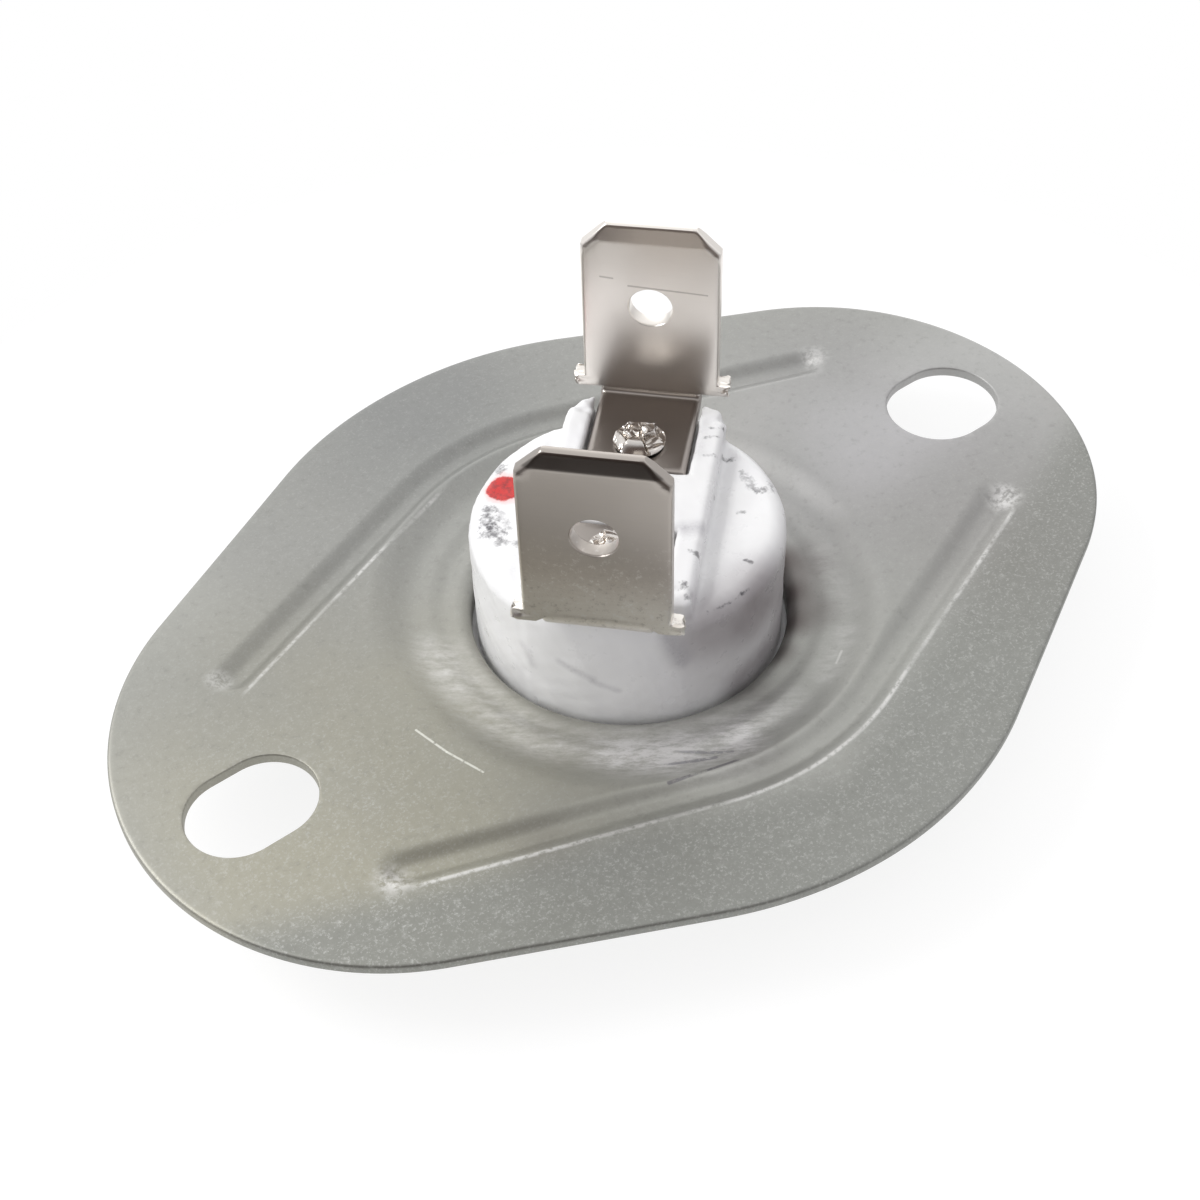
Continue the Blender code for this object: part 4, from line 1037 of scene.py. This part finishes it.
def tabWear(g, tone, cloud, colour, gloss, grain):
    # streaks that run across; the front tab's outer face is darker at the top and pale low down as a painted
    # reflection, the pale part partly wear, flecked low down, with a painted dark reflection on the bevel; the
    # rear tab is made pale as a painted reflection, with a painted dark reflection on its foot, and hairlines
    turn, tones = shared["terminalTurn"], terminal["tones"]
    rub = g.noise(1, 4, 0.6, g.stretched((0.35, 1, 6), -turn))
    fleck = g.noise(0.3, 4, 0.75)
    along = g.vector("DOT_PRODUCT", g.where, (-math.sin(turn), math.cos(turn), 0), out="Value")
    front = along.step(-6.9, -7.1)
    rear = 1 - front
    lower = g.z.step(16.5, 11.5)
    bevel = g.z.step(19.05, 19.2) * along.step(-7.75, -7.85)
    layers = (
        (rub.step(0.52, 0.72) * 0.3, darker(tone, 0.72)),
        # painted reflection: the front tab darker at the top
        (front * (1 - lower) * 0.85, darker(tone, 0.6)),
        # painted reflection: the rear tab paler
        (rear * 0.85, tones["rearReflection"]),
        # the front tab paler low down: painted reflection, partly wear
        (front * g.z.step(14, 11) * (cloud + rub * 0.6), tones["lowReflectionAndWear"]),
        # painted dark reflection on the front tab's bevel
        (bevel * 0.85, darker(tone, 0.25)),
        # painted dark reflection on the rear tab's foot
        (g.z.step(11, 10.5) * rear * 0.75, tones["foot"]),
        (fleck.step(0.54, 0.66) * front * lower * 0.8, tones["fleck"]),
        (fleck.step(0.46, 0.32) * front * lower * 0.35, darker(tone, 0.45)),
    )
    for share, shade in layers:
        colour = g.mix(share, colour, shade)
    for start, end, reach, shade in terminal["hairlines"]:
        colour = g.mix(g.line(start, end, reach, reach) * 0.45, colour, shade)
    return colour, gloss + front * lower * 0.05, grain * 0.6 + rub


zinc = zincMaterial()
glaze = glazeMaterial()
nickel = metalMaterial("warm_nickel", terminal["nickel"], 0.305, tabWear)
rivetMetal = metalMaterial("bright_rivet", (0.78, 0.74, 0.7), 0.16)
aluminium = metalMaterial("drawn_aluminium", (0.66, 0.67, 0.68), 0.3)

finish(makePlate(), zinc, "housing", ["mounting_plate"])
finish(makeCeramic(), glaze, "housing", ["ceramic_body"], sharp=60)
finish(makeTerminal("front_tab", -1, 21), nickel, "housing", ["front_terminal"])
finish(makeTerminal("rear_tab", 1, 31), nickel, "housing", ["rear_terminal"])
finish(makeRivet("front_rivet_head", -1, 4), rivetMetal, "housing", ["front_rivet"])
finish(makeRivet("rear_rivet_head", 1, 9), rivetMetal, "housing", ["rear_rivet"])
finish(makeCap(), aluminium, "housing", ["sensing_cap"])

inner = {
    "bimetal_disc": metalMaterial("bimetal", (0.5, 0.47, 0.43), 0.35),
    "pin_guide": glaze,
    "transfer_pin": glaze,
    "contact_arm": metalMaterial("copper_spring", (0.72, 0.42, 0.26), 0.3),
    "contact_strip": nickel,
    "moving_contact": metalMaterial("contact_silver", (0.82, 0.81, 0.79), 0.25),
}
inner["fixed_contact"] = inner["moving_contact"]
for name, material in inner.items():
    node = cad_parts[name]
    for place in node.material_slots:
        place.material = material
print("materials on")

studio = {
    "lens": 58.75,
    "azimuth": -36.61,
    "elevation": 46.2,
    "roll": -1.97,
    "distance": 92.01,
    "right": 1.342,
    "down": -0.708,
    "floorRadius": 44,
    "floorGlow": 1.1,
    "floorShare": 0.75,
    "key": ((-0.16, 0.17, 0.22), 0.16, 0.5),  # place, size, power
    "fill": ((0.2, -0.12, 0.2), 0.2, 0.05),
    "plainLight": (0.92, 0.92, 0.92),
    "dimPatch": ((12, 12, 60, 34), (0.3, 0.285, 0.305)),
    "roomTone": (0.62, 0.62, 0.63),
    "roomPatches": (         # azimuth, elevation, wide and narrow in degrees, and the colour
        ((143.4, 40, 75, 20), (0.98, 0.98, 0.98)),
        ((143.4, 10, 34, 12), (1.7, 1.7, 1.7)),
        ((-48, 12, 66, 42), (0.11, 0.085, 0.075)),
        ((-56, -24, 44, 26), (0.045, 0.03, 0.026)),
    ),
}


def makeCamera():
    s = studio
    az, el, roll = (math.radians(s[k]) for k in ("azimuth", "elevation", "roll"))
    ahead = -Vector((math.sin(az) * math.cos(el), -math.cos(az) * math.cos(el), math.sin(el)))
    right = ahead.cross(Vector((0, 0, 1))).normalized()
    up = right.cross(ahead)
    right, up = math.cos(roll) * right + math.sin(roll) * up, math.cos(roll) * up - math.sin(roll) * right
    place = -(s["right"] * right - s["down"] * up + s["distance"] * ahead) + Vector((0, 0, shared["plateTop"]))
    data = bpy.data.cameras.new("camera")
    data.lens = s["lens"]
    data.sensor_width = 36
    data.clip_start = 0.001
    camera = bpy.data.objects.new("camera", data)
    turn = Matrix((right, up, -ahead)).transposed().to_4x4()
    camera.matrix_world = Matrix.Translation(place * mm) @ turn
    bpy.context.scene.collection.objects.link(camera)
    bpy.context.scene.camera = camera


def makeFloor():
    # a round pale floor; camera and glossy rays see it glow, and it keeps the object's shadow
    angle = np.linspace(0, 2 * math.pi, 96, endpoint=False)
    points = np.stack([np.cos(angle), np.sin(angle), 0 * angle], axis=1) * studio["floorRadius"]
    item = makeMesh("floor", points, np.arange(len(angle))[None])
    g = Surface("pale_floor")
    seen = g.rays()
    glow = g.add("ShaderNodeEmission", None, Color=(1, 1, 1), Strength=studio["floorGlow"])
    material = g.finish(Base_Color=(0.9, 0.9, 0.9), Roughness=0.9)
    plain = Value(g, g.shader.outputs[0])
    surface = g.add("ShaderNodeMixShader", None, seen * studio["floorShare"], plain, glow)
    g.put(g.tree.nodes["Material Output"].inputs["Surface"], surface)
    item.data.materials.append(material)


def makeLight(name):
    place, size, power = studio[name]
    data = bpy.data.lights.new(name, "AREA")
    data.size = size
    data.energy = power
    item = bpy.data.objects.new(name, data)
    item.location = place
    item.rotation_euler = Vector(place).to_track_quat("Z", "Y").to_euler()
    bpy.context.scene.collection.objects.link(item)


def makeWorld():
    # white for the camera; reflections see a pale room, bright low behind the object and dark brown round the
    # camera; all other rays get plain light that is dim from the front right
    s = studio
    world = bpy.data.worlds.new("room")
    bpy.context.scene.world = world
    g = Graph(world)
    direction = g.add("ShaderNodeTexCoord", out="Generated")

    def patched(tone, where, colour):
        # the colour within narrow degrees of a direction, the tone beyond wide degrees
        az, el, wide, narrow = map(math.radians, where)
        axis = (math.sin(az) * math.cos(el), -math.cos(az) * math.cos(el), math.sin(el))
        near = g.vector("DOT_PRODUCT", direction, axis, out="Value")
        return g.mix(near.step(math.cos(wide), math.cos(narrow)), tone, colour)

    room = s["roomTone"]
    for where, colour in s["roomPatches"]:
        room = patched(room, where, colour)
    glossy = g.add("ShaderNodeLightPath", out="Is Glossy Ray")
    camera = Value(g, glossy.socket.node.outputs["Is Camera Ray"])
    tone = g.mix(glossy, patched(s["plainLight"], *s["dimPatch"]), room)
    g.put(g.tree.nodes["Background"].inputs["Color"], g.mix(camera, tone, (1, 1, 1)))


makeCamera()
makeFloor()
makeWorld()
makeLight("key")
makeLight("fill")
bpy.context.scene.view_settings.view_transform = "Standard"
print("studio set")
